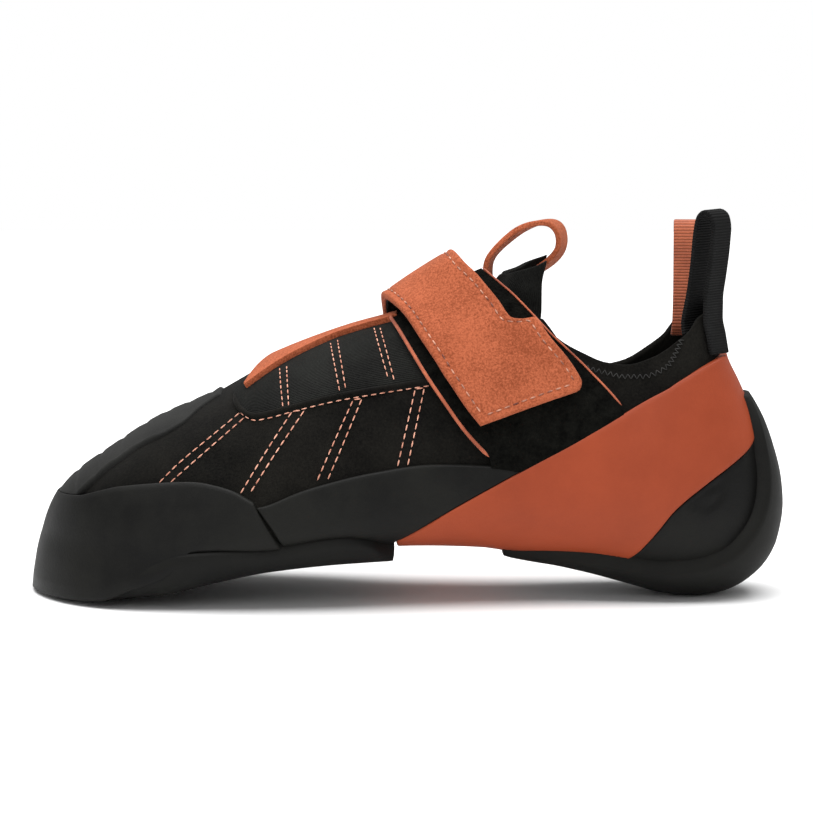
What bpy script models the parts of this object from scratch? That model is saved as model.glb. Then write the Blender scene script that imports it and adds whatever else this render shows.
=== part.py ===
"""Climbing shoe, left foot, standing empty on its sole. Metres, +Z up, toe towards -X, outer side -Y."""
import math

import bmesh
import bpy
import numpy as np

for old in list(bpy.data.objects):
    bpy.data.objects.remove(old, do_unlink=True)

# Main sizes of the shoe.
LENGTH = 0.250
BALL_WIDTH = 0.090
INSTEP_HEIGHT = 0.100
# Thicknesses of what it is made from.
WALL = 0.0020
GAP = 0.0003
LIFT = 0.0006
RAND = 0.0015
HEEL_RUBBER = 0.0016
SOLE = 0.0045
SOLE_EDGE = 0.0026
HEEL_SOLE = 0.0030
INSOLE = 0.0015
SUEDE = 0.0020
FLAP = 0.0030
BAND = 0.0018
WEBBING = 0.0015
TONGUE = 0.0020
# Rays that find the surface of the last start on a spine between these two stations.
TOE_AXIS = 0.112
HEEL_AXIS = 0.844
FAN = 0.12 * LENGTH
QUARTER = FAN * math.pi / 2
SIDE_RUN = (HEEL_AXIS - TOE_AXIS) * LENGTH
ROUND = 2 * QUARTER + SIDE_RUN
# Where the front sole, the instep strip and the collar start and end, as stations along the length.
SOLE_END = 0.484
ARCH_START = 0.486
HEEL_SOLE_START = 0.628
SIDE_RAND_START = 0.302
TOE_RAND_END = 0.338
SWING_START = 0.600
SIDE_RAND_END = 0.648
TOE_CLOSE = 0.188
HEEL_CLOSE = 0.780
TOE_BACK = 0.0075
# Facets of the solids.
FAN_STEPS = 9
CORNER_POWER = 5.0
FACET_RUN = 0.016
FACET_TURN = 0.36
SIDE_STEP = 0.0072

# Station along the length; heights of bottom, widest line and ridge as shares of the instep height;
# ridge, outer and inner half widths as shares of the ball width; squareness of top, side and underside.
LAST = [
    # station bottom widest ridge  ridge_y outer  inner  top  side  under
    (0.000, 0.048, 0.090, 0.285, 0.130, 0.405, 0.450, 3.0, 10.0, 8.0),
    (0.024, 0.048, 0.090, 0.325, 0.130, 0.405, 0.450, 3.0, 10.0, 8.0),
    (0.060, 0.048, 0.092, 0.388, 0.130, 0.405, 0.450, 3.0, 9.0, 8.0),
    (0.100, 0.052, 0.105, 0.455, 0.128, 0.405, 0.450, 2.6, 6.0, 6.0),
    (0.160, 0.088, 0.145, 0.556, 0.115, 0.415, 0.455, 2.2, 3.4, 4.0),
    (0.240, 0.138, 0.215, 0.655, 0.095, 0.462, 0.475, 1.9, 2.6, 3.4),
    (0.320, 0.175, 0.265, 0.768, 0.075, 0.490, 0.458, 1.8, 2.3, 3.0),
    (0.420, 0.196, 0.310, 0.868, 0.045, 0.474, 0.395, 1.8, 2.2, 3.0),
    (0.500, 0.203, 0.335, 0.928, 0.025, 0.436, 0.338, 1.8, 2.1, 3.0),
    (0.600, 0.192, 0.350, 1.035, 0.010, 0.382, 0.305, 1.7, 2.0, 2.8),
    (0.640, 0.176, 0.352, 1.065, 0.005, 0.365, 0.303, 1.6, 2.0, 2.8),
    (0.690, 0.164, 0.352, 1.055, 0.000, 0.348, 0.305, 1.6, 2.0, 2.7),
    (0.740, 0.140, 0.350, 0.955, 0.000, 0.333, 0.310, 1.55, 2.0, 2.6),
    (0.792, 0.104, 0.345, 0.890, 0.000, 0.325, 0.315, 1.5, 2.0, 2.5),
    (0.850, 0.064, 0.340, 1.000, 0.000, 0.325, 0.318, 1.5, 2.0, 2.4),
    (0.890, 0.053, 0.335, 1.110, 0.000, 0.325, 0.318, 1.5, 2.0, 2.4),
    (1.000, 0.053, 0.330, 1.250, 0.000, 0.325, 0.318, 1.5, 2.0, 2.4),
]
# Back of the heel: height share, then distance from the toe as a share of the length.
HEEL_BACK = [
    (0.053, 0.890), (0.070, 0.921), (0.100, 0.942), (0.150, 0.962), (0.210, 0.973), (0.310, 0.979),
    (0.380, 0.977), (0.494, 0.967), (0.600, 0.953), (0.702, 0.935), (0.804, 0.917), (0.940, 0.910),
    (1.050, 0.904),
]
# Spine inside the foot: station, sideways share, height share.
SPINE = [
    (0.112, 0.110, 0.220), (0.300, 0.070, 0.400), (0.500, 0.020, 0.520), (0.700, 0.000, 0.470),
    (0.844, 0.000, 0.400),
]
# Edges on the outside: way round from the toe tip as a share of the length, height share.
COLLAR = [
    (0.664, 1.030), (0.690, 0.985), (0.722, 0.952), (0.757, 0.928), (0.774, 0.872), (0.808, 0.820), (0.840, 0.786),
    (0.867, 0.777), (0.902, 0.803), (0.920, 0.828), (0.978, 0.885), (1.010, 0.928), (1.109, 0.968),
]
TOE_RAND_TOP = [
    (0.000, 0.318), (0.144, 0.345), (0.207, 0.392), (0.279, 0.416), (0.303, 0.419), (0.332, 0.410),
    (0.354, 0.396), (0.378, 0.365), (0.414, 0.330),
]
SOLE_TOP = [
    (0.000, 0.070), (0.144, 0.080), (0.207, 0.115), (0.288, 0.168), (0.416, 0.205), (0.470, 0.232),
    (0.500, 0.244), (0.530, 0.238), (0.548, 0.226), (0.570, 0.221),
]
SIDE_RAND_TOP = [
    (0.378, 0.345), (0.395, 0.355), (0.432, 0.393), (0.457, 0.414), (0.534, 0.459), (0.612, 0.481), (0.686, 0.473),
    (0.728, 0.456),
]
HEEL_RAND_TOP = [
    (0.550, 0.226), (0.629, 0.328), (0.725, 0.452), (0.803, 0.551), (0.864, 0.632), (0.904, 0.687),
    (0.943, 0.734), (1.006, 0.785), (1.063, 0.804), (1.109, 0.808),
]
HEEL_RAND_LOW = [
    (0.704, 0.192), (0.728, 0.185), (0.760, 0.176), (0.806, 0.155), (0.846, 0.138), (0.877, 0.174),
    (0.894, 0.216), (0.907, 0.254), (0.927, 0.314), (0.971, 0.395), (1.007, 0.450), (1.052, 0.513),
    (1.082, 0.565), (1.109, 0.580),
]
TOE_PATCH_OUTER = [
    (0.144, 0.352), (0.174, 0.418), (0.202, 0.468), (0.227, 0.512), (0.257, 0.549), (0.279, 0.580),
    (0.306, 0.632), (0.330, 0.668),
]


def curve(table, column=1):
    """Smooth curve through one column of a table, never past its values."""
    x = np.array([row[0] for row in table], float)
    y = np.array([row[column] for row in table], float)
    step = np.diff(x)
    slope = np.diff(y) / step
    tangent = np.zeros_like(y)
    both = slope[:-1] * slope[1:]
    safe = np.where(both > 0, slope[:-1] + slope[1:], 1.0)
    tangent[1:-1] = np.where(both > 0, 2 * both / safe, 0.0)
    tangent[0] = slope[0]
    tangent[-1] = slope[-1]

    def at(q):
        q = np.clip(np.asarray(q, float), x[0], x[-1])
        i = np.clip(np.searchsorted(x, q) - 1, 0, len(x) - 2)
        t = (q - x[i]) / step[i]
        rest = 1 - t
        return (rest * rest * ((1 + 2 * t) * y[i] + t * step[i] * tangent[i])
                + t * t * ((3 - 2 * t) * y[i + 1] - rest * step[i] * tangent[i + 1]))

    return at


bottom_share = curve(LAST, 1)
widest_share = curve(LAST, 2)
ridge_share = curve(LAST, 3)
ridge_side = curve(LAST, 4)
outer_share = curve(LAST, 5)
inner_share = curve(LAST, 6)
top_power = curve(LAST, 7)
side_power = curve(LAST, 8)
under_power = curve(LAST, 9)
heel_back = curve(HEEL_BACK)
spine_side = curve(SPINE, 1)
spine_height = curve(SPINE, 2)
PLAN_POWER = 1.95
HEEL_POWER = 2.5
UNDER_TOP_POWER = 2.6
TOE_LEAN = 0.10


def inside(point):
    """True for points within the outer face of the upper."""
    x, y, z = point[..., 0], point[..., 1], point[..., 2]
    station = x / LENGTH + 0.5
    low = bottom_share(station) * INSTEP_HEIGHT
    wide = widest_share(station) * INSTEP_HEIGHT
    high = ridge_share(station) * INSTEP_HEIGHT
    ridge = ridge_side(station) * BALL_WIDTH
    half = np.where(y < ridge, outer_share(station) * BALL_WIDTH + ridge, inner_share(station) * BALL_WIDTH - ridge)
    across = np.abs(y - ridge) / half
    above = z >= wide
    up = np.where(above, (z - wide) / (high - wide), (wide - z) / (wide - low))
    reach_up = np.where(above, top_power(station), UNDER_TOP_POWER)
    reach_out = np.where(above, side_power(station), under_power(station))
    left = np.clip(1 - np.clip(up, 0, 1) ** reach_up, 0, 1) ** (1 / reach_out)
    toe_face = (TOE_BACK + TOE_LEAN * z / LENGTH)
    toe = np.clip((TOE_CLOSE - station) / (TOE_CLOSE - toe_face), 0, None)
    heel = np.clip((station - HEEL_CLOSE) / (heel_back(z / INSTEP_HEIGHT) - HEEL_CLOSE), 0, None)
    plan = (across ** PLAN_POWER + toe ** PLAN_POWER) ** (1 / PLAN_POWER)
    room = np.maximum(left, 1e-9) * np.clip(1 - np.clip(heel, 0, 1) ** HEEL_POWER, 0, 1) ** (1 / HEEL_POWER)
    return (plan < room) & (up < 1) & (heel < 1)


def hit(origin, direction):
    """Distance from a point on the spine to the surface."""
    near = np.zeros(origin.shape[:-1])
    far = np.full(origin.shape[:-1], LENGTH)
    for _ in range(26):
        middle = (near + far) / 2
        within = inside(origin + direction * middle[..., None])
        near = np.where(within, middle, near)
        far = np.where(within, far, middle)
    return near


def unit(vector):
    return vector / np.linalg.norm(vector, axis=-1, keepdims=True)


def skin(origin, direction, lift):
    """Point of the surface in a direction, moved out along the normal."""
    direction = unit(direction)
    helper = np.where(np.abs(direction[..., 1:2]) < 0.8, np.array([0.0, 1.0, 0.0]), np.array([1.0, 0.0, 0.0]))
    first = unit(np.cross(direction, helper))
    second = np.cross(direction, first)
    tilt = 0.02
    spots = []
    for turn in (tilt * first, -tilt * first, tilt * second, -tilt * second):
        bent = unit(direction + turn)
        spots.append(origin + bent * hit(origin, bent)[..., None])
    normal = unit(np.cross(spots[0] - spots[1], spots[2] - spots[3]))
    facing = np.sign(np.sum(normal * direction, axis=-1, keepdims=True))
    point = origin + direction * hit(origin, direction)[..., None]
    return point + normal * facing * np.asarray(lift)[..., None]


def ray(way, angle):
    """Start and direction of the ray at a way round the shoe (outer side positive) and an angle up."""
    way = np.asarray(way, float)
    size = np.abs(way)
    side = np.where(way >= 0, -1.0, 1.0)
    toe_turn = np.clip(size / FAN, 0, math.pi / 2)
    heel_turn = np.clip((size - QUARTER - SIDE_RUN) / FAN, 0, math.pi / 2)
    station = TOE_AXIS + np.clip(size - QUARTER, 0, SIDE_RUN) / LENGTH
    origin = np.stack([(station - 0.5) * LENGTH, spine_side(station) * BALL_WIDTH,
                       spine_height(station) * INSTEP_HEIGHT], axis=-1)
    flat_x = -np.cos(toe_turn) + np.sin(heel_turn)
    flat_y = side * np.where(heel_turn > 0, np.cos(heel_turn), np.sin(toe_turn))
    flat = unit(np.stack([flat_x, flat_y, np.zeros_like(flat_x)], axis=-1))
    turn = np.asarray(angle)[..., None]
    return origin, flat * np.cos(turn) + np.array([0.0, 0.0, 1.0]) * np.sin(turn)


def on_shoe(way, angle, lift):
    origin, direction = ray(way, angle)
    return skin(origin, direction, np.broadcast_to(lift, np.shape(way)))


def angle_at_height(way, height):
    """Angle at which the surface reaches a height."""
    way = np.asarray(way, float)
    low = np.full(way.shape, math.radians(-70))
    high = np.full(way.shape, math.pi / 2)
    for _ in range(24):
        middle = (low + high) / 2
        origin, direction = ray(way, middle)
        z = origin[..., 2] + direction[..., 2] * hit(origin, direction)
        low = np.where(z < height, middle, low)
        high = np.where(z < height, high, middle)
    return (low + high) / 2


def angle_at_reach(way, share):
    """Angle under the foot at which the surface has come in to a share of its half width."""
    way = np.asarray(way, float)
    level_origin, level = ray(way, np.zeros(way.shape))
    wide = hit(level_origin, level)
    low = np.full(way.shape, -math.pi / 2)
    high = np.full(way.shape, 0.0)
    for _ in range(24):
        middle = (low + high) / 2
        origin, direction = ray(way, middle)
        across = np.cos(middle) * hit(origin, direction)
        low = np.where(across < share * wide, middle, low)
        high = np.where(across < share * wide, high, middle)
    return (low + high) / 2


def edge(table):
    """Height of an edge, both sides alike, by the way round."""
    line = curve(table)
    return lambda way: line(np.abs(way) / LENGTH) * INSTEP_HEIGHT


collar_height = edge(COLLAR)
toe_rand_top = edge(TOE_RAND_TOP)
sole_top = edge(SOLE_TOP)
side_rand_top = edge(SIDE_RAND_TOP)
heel_rand_top = edge(HEEL_RAND_TOP)
heel_rand_low = edge(HEEL_RAND_LOW)
toe_patch_outer = edge(TOE_PATCH_OUTER)


def way_at(station):
    """Way round from the toe tip to a station on the side."""
    return QUARTER + (station - TOE_AXIS) * LENGTH


def ways_between(start, end, step=SIDE_STEP):
    """Ways round from start to end, finer round the toe and heel."""
    stops = [start]
    marks = [-ROUND, -QUARTER - SIDE_RUN, -QUARTER, 0.0, QUARTER, QUARTER + SIDE_RUN, ROUND]
    stops += [mark for mark in marks if start + 1e-6 < mark < end - 1e-6]
    stops.append(end)
    ways = []
    for a, b in zip(stops[:-1], stops[1:]):
        middle = abs(a + b) / 2
        fan = middle < QUARTER or middle > QUARTER + SIDE_RUN
        size = QUARTER / FAN_STEPS if fan else step
        count = max(1, int(math.ceil((b - a) / size - 1e-6)))
        ways += list(a + (b - a) * np.arange(count) / count)
    ways.append(end)
    return np.array(ways)


TIES = [way_at(station) for station in (SIDE_RAND_START, TOE_RAND_END, SOLE_END, SWING_START, SIDE_RAND_END)]
TIES = [0.0, QUARTER, *TIES, QUARTER + SIDE_RUN, ROUND]
STOPS = np.concatenate([ways_between(a, b, 0.0054)[:-1] for a, b in zip(TIES[:-1], TIES[1:])] + [[ROUND]])


def stretch(start, end):
    """The shared ways round between two ends, so that neighbours have matching edges."""
    both = np.concatenate([-STOPS[:0:-1], STOPS])
    kept = both[(both > start + 0.0012) & (both < end - 0.0012)]
    return np.concatenate([[start], kept, [end]])


def tie_up(points, faces):
    """Merge corners that share a place, dropping faces that close up."""
    keys = {}
    first = []
    places = []
    for point in points:
        key = tuple(np.round(point / 2e-5).astype(int))
        if key not in keys:
            keys[key] = len(places)
            places.append(point)
        first.append(keys[key])
    clean = []
    for face in faces:
        ring = []
        for corner in face:
            merged = first[corner]
            if merged not in ring:
                ring.append(merged)
        if len(ring) > 2:
            clean.append(ring)
    return first, clean


def grid_faces(columns, rows):
    faces = []
    for i in range(columns - 1):
        for j in range(rows - 1):
            a = i * rows + j
            faces.append((a, a + rows, a + rows + 1, a + 1))
    return faces


def over(station, tilt, lift):
    """Point on the top of the foot: tilt from straight up towards the outer side, then lifted."""
    station = np.asarray(station, float)
    origin = np.stack([(station - 0.5) * LENGTH, spine_side(station) * BALL_WIDTH,
                       spine_height(station) * INSTEP_HEIGHT], axis=-1)
    direction = np.stack([np.zeros_like(tilt), -np.sin(tilt), np.cos(tilt)], axis=-1)
    return skin(origin, direction, np.broadcast_to(lift, station.shape))


def tilt_at(station, height, lift):
    """Outward tilt at which the lifted surface comes down to a height."""
    low = np.zeros(np.shape(station))
    high = np.full(np.shape(station), math.radians(110))
    for _ in range(18):
        middle = (low + high) / 2
        z = over(station, middle, lift)[..., 2]
        low = np.where(z > height, middle, low)
        high = np.where(z > height, high, middle)
    return (low + high) / 2


def resample(table, count):
    """Rows of a table at even shares, smoothly between its own rows."""
    keyed = [(index, *row) for index, row in enumerate(table)]
    spots = np.linspace(0, len(table) - 1, count)
    return [curve(keyed, column + 1)(spots) for column in range(len(table[0]))]


collection = bpy.data.collections.new("climbing shoe")
bpy.context.scene.collection.children.link(collection)


def material(name, colour, roughness, metallic=0.0):
    made = bpy.data.materials.new(name)
    made.use_nodes = True
    shader = made.node_tree.nodes["Principled BSDF"]
    shader.inputs["Base Color"].default_value = (*colour, 1.0)
    shader.inputs["Roughness"].default_value = roughness
    shader.inputs["Metallic"].default_value = metallic
    made.diffuse_color = (*colour, 1.0)
    return made


def add_object(name, points, faces, colour, roughness):
    mesh = bpy.data.meshes.new(name)
    mesh.from_pydata([tuple(float(v) for v in p) for p in points], [], [tuple(f) for f in faces])
    mesh.update()
    made = bpy.data.objects.new(name, mesh)
    made.data.materials.append(material(name + " surface", colour, roughness))
    collection.objects.link(made)
    return made


def sheet(name, base, faces, thickness, colour, roughness, inward=False):
    """An open surface given thickness on one side."""
    first, clean = tie_up(base, faces)
    places = np.zeros((max(first) + 1, 3))
    for index, merged in enumerate(first):
        places[merged] = base[index]
    made = add_object(name, places, clean, colour, roughness)
    shape = bmesh.new()
    shape.from_mesh(made.data)
    bmesh.ops.recalc_face_normals(shape, faces=shape.faces[:])
    centre = np.mean(places, axis=0)
    total = 0.0
    for face in shape.faces:
        total += face.calc_area() * face.normal.dot(face.calc_center_median() - type(face.normal)(OUT_FROM))
    if total < 0:
        bmesh.ops.reverse_faces(shape, faces=shape.faces[:])
    shape.to_mesh(made.data)
    shape.free()
    solid = made.modifiers.new("thickness", "SOLIDIFY")
    solid.thickness = thickness
    solid.offset = -1.0 if inward else 1.0
    solid.use_even_offset = True
    solid.use_quality_normals = True
    return made


OUT_FROM = (0.0, 0.0, 0.4 * INSTEP_HEIGHT)


def closed(name, inner, outer, faces, colour, roughness):
    """A solid between two matching faces, walled in round its edge."""
    first, clean = tie_up(inner, faces)
    count = max(first) + 1
    low = np.zeros((count, 3))
    high = np.zeros((count, 3))
    for index, merged in enumerate(first):
        low[merged] = inner[index]
        high[merged] = outer[index]
    used = {}
    for ring in clean:
        for a, b in zip(ring, ring[1:] + ring[:1]):
            used[(a, b)] = True
    sides = [(a, b, b + count, a + count) for a, b in used if (b, a) not in used]
    everything = [list(reversed(ring)) for ring in clean] + [[c + count for c in ring] for ring in clean]
    everything += [list(side) for side in sides]
    made = add_object(name, np.vstack([low, high]), everything, colour, roughness)
    shape = bmesh.new()
    shape.from_mesh(made.data)
    bmesh.ops.recalc_face_normals(shape, faces=shape.faces[:])
    if shape.calc_volume(signed=True) < 0:
        bmesh.ops.reverse_faces(shape, faces=shape.faces[:])
    shape.to_mesh(made.data)
    shape.free()
    return made


def band(ways, low, high):
    """Matching ways and angles for a strip of surface, with rows enough for its sharpest bend."""
    fine = np.linspace(0, 1, 49)
    way = np.repeat(ways[:, None], 49, axis=1)
    angle = low[:, None] * (1 - fine) + high[:, None] * fine
    origin, direction = ray(way, angle)
    place = origin + direction * hit(origin, direction)[..., None]
    step = np.diff(place, axis=1)
    length = np.linalg.norm(step, axis=-1)
    heading = step / np.maximum(length, 1e-9)[..., None]
    turn = np.arccos(np.clip(np.sum(heading[:, 1:] * heading[:, :-1], axis=-1), -1, 1))
    turn = np.where(length[:, 1:] + length[:, :-1] > 2e-5, turn, 0.0)
    turn = (np.pad(turn, ((0, 0), (1, 0))) + np.pad(turn, ((0, 0), (0, 1)))) / 2
    weight = length / FACET_RUN + turn / FACET_TURN + 1e-4
    total = np.concatenate([np.zeros((len(ways), 1)), np.cumsum(weight, axis=1)], axis=1)
    rows = int(math.ceil(np.max(total[:, -1]))) + 2
    total /= total[:, -1:]
    share = np.array([np.interp(np.linspace(0, 1, rows), line, fine) for line in total])
    angle = low[:, None] * (1 - share) + high[:, None] * share
    return np.repeat(ways[:, None], rows, axis=1).ravel(), angle.ravel(), rows


def square_depth(normal, aside, below):
    """Thickness that keeps a fairly square lower corner between a side and an underside."""
    level = np.sqrt(np.clip(1 - normal[:, 2] ** 2, 0, 1))
    down = np.abs(normal[:, 2])
    return ((level / aside) ** CORNER_POWER + (down / below) ** CORNER_POWER) ** (-1 / CORNER_POWER)


def strip_sheet(name, ways, low, high, lift, thickness, colour, roughness, inward=False, shift=None):
    way, angle, rows = band(ways, low, high)
    if shift is not None:
        line_low = np.repeat(low, rows)
        share = (angle - line_low) / (np.repeat(high, rows) - line_low)
        way = way + shift(way, share)
        order = np.argsort(ways)
        line_low = np.interp(way, ways[order], low[order])
        line_high = np.interp(way, ways[order], high[order])
        angle = line_low * (1 - share) + line_high * share
    return sheet(name, on_shoe(way, angle, lift), grid_faces(len(ways), rows), thickness, colour, roughness, inward)


BLACK = (0.016, 0.016, 0.018)
DARK = (0.030, 0.030, 0.033)
GREY = (0.085, 0.088, 0.095)
ORANGE = (0.560, 0.130, 0.055)
ORANGE_RUBBER = (0.430, 0.075, 0.030)

# Upper: one wall round the whole foot, turned in under it and open at the collar and beneath.
ways = stretch(-ROUND, ROUND)
collar_start = COLLAR[0][0] * LENGTH
collar_angle = angle_at_height(ways, collar_height(ways))
top = np.where(np.abs(ways) > collar_start, collar_angle, math.pi / 2)
strip_sheet("upper", ways, angle_at_reach(ways, 0.74), top, 0.0, WALL, DARK, 0.85, inward=True)

# Insole: a board on the turned-in edge of the upper.
insole_ways = ways_between(-ROUND, ROUND, 0.012)
strip_sheet("insole", insole_ways, np.full(insole_ways.shape, -math.pi / 2), angle_at_reach(insole_ways, 0.86),
            -(WALL + 0.0004), INSOLE, GREY, 0.8, inward=True)

# Front sole: thick under the foot, thinner where it turns up the side, ground level at the toe.
sole_ways = stretch(-way_at(SOLE_END), way_at(SOLE_END))
sole_edge = angle_at_height(sole_ways, sole_top(sole_ways))
way, angle, rows = band(sole_ways, np.full(sole_ways.shape, -math.pi / 2), sole_edge)
inner = on_shoe(way, angle, LIFT)
normal = (on_shoe(way, angle, 0.001) - on_shoe(way, angle, 0.0)) / 0.001
flush = np.clip((np.abs(way) - 0.9 * QUARTER) / (0.6 * QUARTER), 0, 1)
side_depth = RAND + (SOLE_EDGE - RAND) * flush
outer = inner + normal * square_depth(normal, side_depth, SOLE)[:, None]
outer[:, 2] = np.maximum(outer[:, 2], 0.0)
closed("outsole_front", inner, outer, grid_faces(len(sole_ways), rows), BLACK, 0.6)

# Toe rand: black rubber round the toe, down to the front sole, its rear edges slanting back as they go down.
toe_end = way_at(TOE_RAND_END)
SLANT = toe_end - way_at(SIDE_RAND_START)
toe_ways = stretch(-toe_end, toe_end)
low = angle_at_height(toe_ways, sole_top(toe_ways) + GAP)
high = angle_at_height(toe_ways, toe_rand_top(toe_ways))


def slant_back(way, share):
    near_end = np.clip((np.abs(way) - toe_end + 4 * SLANT) / (4 * SLANT), 0, 1)
    return -np.sign(way) * SLANT * share * near_end


strip_sheet("toe_rand", toe_ways, low, high, LIFT, RAND, BLACK, 0.5, shift=slant_back)

# Toe patch: ribbed grey rubber over the top of the toe and the inner side of the big toe.
patch_end = TOE_PATCH_OUTER[-1][0] * LENGTH
patch_ways = stretch(-patch_end, patch_end)
outer_side = patch_ways > TOE_PATCH_OUTER[0][0] * LENGTH
low_height = np.where(outer_side, np.maximum(toe_patch_outer(patch_ways), toe_rand_top(patch_ways) + GAP),
                      toe_rand_top(patch_ways) + GAP)
low = angle_at_height(patch_ways, low_height)
strip_sheet("toe_patch", patch_ways, np.minimum(low, math.radians(88)), np.full(patch_ways.shape, math.pi / 2),
            LIFT, RAND, GREY, 0.75)

# Side rands: from the toe rand's rear edge back to where they meet the orange heel rand.
for side, name in ((1.0, "side_rand_outer"), (-1.0, "side_rand_inner")):
    start = way_at(SIDE_RAND_START) + 0.0011
    run = stretch(start, way_at(SIDE_RAND_END))
    floor = np.where(run > way_at(SOLE_END) - 0.002, heel_rand_top(run), sole_top(run)) + GAP
    roof = np.maximum(side_rand_top(run), floor + 0.0025)

    def slant_front(way, share):
        near_start = np.clip((start + 3 * SLANT - np.abs(way)) / (3 * SLANT), 0, 1)
        return np.sign(way) * SLANT * (1 - share) * near_start

    strip_sheet(name, side * run, angle_at_height(side * run, floor), angle_at_height(side * run, roof), LIFT, RAND,
                BLACK, 0.55, shift=slant_front)

# Heel rand: the orange sling, under the arch, up both sides and round the heel in one piece.
run = stretch(way_at(ARCH_START), ROUND)
run = np.concatenate([run, -run[::-1][1:]])
swing = np.clip((np.abs(run) - way_at(SWING_START)) / (0.055 * LENGTH), 0, 1)
swing = swing * swing * (3 - 2 * swing)
top = angle_at_height(run, heel_rand_top(run))
low = (-math.pi / 2 + 0.010) * (1 - swing) + angle_at_height(run, heel_rand_low(run)) * swing
strip_sheet("heel_rand", run, low, top, LIFT + 0.0003, RAND, ORANGE_RUBBER, 0.45)

# Heel cup: black rubber under and behind the heel, below the orange rand.
cup_start = way_at(0.618)
cup_ways = stretch(cup_start, ROUND)
cup_ways = np.concatenate([cup_ways, -cup_ways[::-1][1:]])
size = np.abs(cup_ways)
swing = np.clip((size - way_at(SWING_START)) / (0.055 * LENGTH), 0, 1)
swing = swing * swing * (3 - 2 * swing)
top = angle_at_height(cup_ways, heel_rand_low(size))
top = -math.pi / 2 * (1 - swing) + top * swing - 0.016
strip_sheet("heel_cup", cup_ways, np.full(cup_ways.shape, -math.pi / 2), top, LIFT + 0.0001, RAND, BLACK, 0.6)

# Heel sole: from the arch back under the heel and up its back, thin at both ends.
REACH = (HEEL_AXIS - HEEL_SOLE_START) * LENGTH
HEEL_TURN = math.radians(138)
TREAD = [
    # share of the way along, half width as a share of the ball width, share of the full thickness
    (0.00, 0.230, 0.35), (0.12, 0.250, 0.85), (0.25, 0.262, 1.00), (0.45, 0.262, 1.00), (0.62, 0.235, 1.00),
    (0.78, 0.180, 0.95), (0.92, 0.135, 0.75), (1.00, 0.090, 0.30),
]
lengthways = 26
sideways = 9
along = np.linspace(0, 1, lengthways)
run = REACH + FAN * HEEL_TURN
travel = along * run
station = np.minimum(HEEL_SOLE_START + travel / LENGTH, HEEL_AXIS)
turn = -math.pi / 2 + np.clip(travel - REACH, 0, None) / FAN
half = curve(TREAD, 1)(along) * BALL_WIDTH
across = np.linspace(-1, 1, sideways)
origin = np.zeros((lengthways, sideways, 3))
origin[..., 0] = ((station - 0.5) * LENGTH)[:, None]
origin[..., 1] = half[:, None] * across
origin[..., 2] = 0.40 * INSTEP_HEIGHT
direction = np.zeros_like(origin)
direction[..., 0] = np.cos(turn)[:, None]
direction[..., 2] = np.sin(turn)[:, None]
under_rands = 2 * LIFT + RAND + 0.0004
depth = HEEL_SOLE * np.repeat(curve(TREAD, 2)(along)[:, None], sideways, axis=1)
inner = skin(origin, direction, np.full(depth.shape, under_rands)).reshape(-1, 3)
outer = skin(origin, direction, under_rands + depth).reshape(-1, 3)
outer[:, 2] = np.maximum(outer[:, 2], 0.0)
closed("heel_sole", inner, outer, grid_faces(lengthways, sideways), BLACK, 0.6)

# Instep strip: thick orange suede over the closed instep, coming to a tip towards the toe.
STRIP = [
    # station, height of its outer edge, tilt of its inner edge in degrees
    (0.290, 0.690, -1.0), (0.319, 0.738, -7.0), (0.348, 0.780, -11.0), (0.379, 0.817, -13.0), (0.410, 0.851, -14.0),
    (0.439, 0.878, -14.0), (0.466, 0.901, -14.0),
]
columns = 13
station, height, tilt = resample(STRIP, columns)
outer_tilt = tilt_at(station, height * INSTEP_HEIGHT, np.full(columns, LIFT + SUEDE))
share = np.linspace(0, 1, 6)
tilts = np.radians(tilt)[:, None] * (1 - share) + outer_tilt[:, None] * share
stations = np.repeat(station[:, None], 6, axis=1)
sheet("instep_strip", over(stations.ravel(), tilts.ravel(), LIFT), grid_faces(columns, 6), SUEDE, ORANGE, 0.85)

# Loop patch: the fuzzy band under the closing flap, from the ridge down to the rands.
LOOP_PATCH = [
    # front edge station and height, rear edge station, height and lift in millimetres
    (0.473, 0.935, 0.604, 1.085, 4.4), (0.490, 0.890, 0.615, 1.060, 3.4), (0.506, 0.833, 0.640, 1.005, 2.2),
    (0.526, 0.755, 0.664, 0.948, 1.3), (0.546, 0.683, 0.704, 0.845, 0.8), (0.576, 0.580, 0.750, 0.735, 0.6),
    (0.610, 0.490, 0.785, 0.644, 0.6),
]
rows = 13
front_x, front_z, rear_x, rear_z, rear_lift = resample(LOOP_PATCH, rows)
share = np.linspace(0, 1, 7)
stations = front_x[:, None] * (1 - share) + rear_x[:, None] * share
heights = front_z[:, None] * (1 - share) + rear_z[:, None] * share
run = way_at(stations)
rand_line = np.maximum(side_rand_top(run), heel_rand_top(run)) / INSTEP_HEIGHT + 0.016
heights = np.maximum(heights, rand_line)
heights[-1] = rand_line[-1]
lifts = LIFT * (1 - share) + rear_lift[:, None] * 0.001 * share
tilts = tilt_at(stations, heights * INSTEP_HEIGHT, lifts)
sheet("loop_patch", over(stations.ravel(), tilts.ravel(), lifts.ravel()), grid_faces(rows, 7), BAND, BLACK, 0.95)

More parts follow.
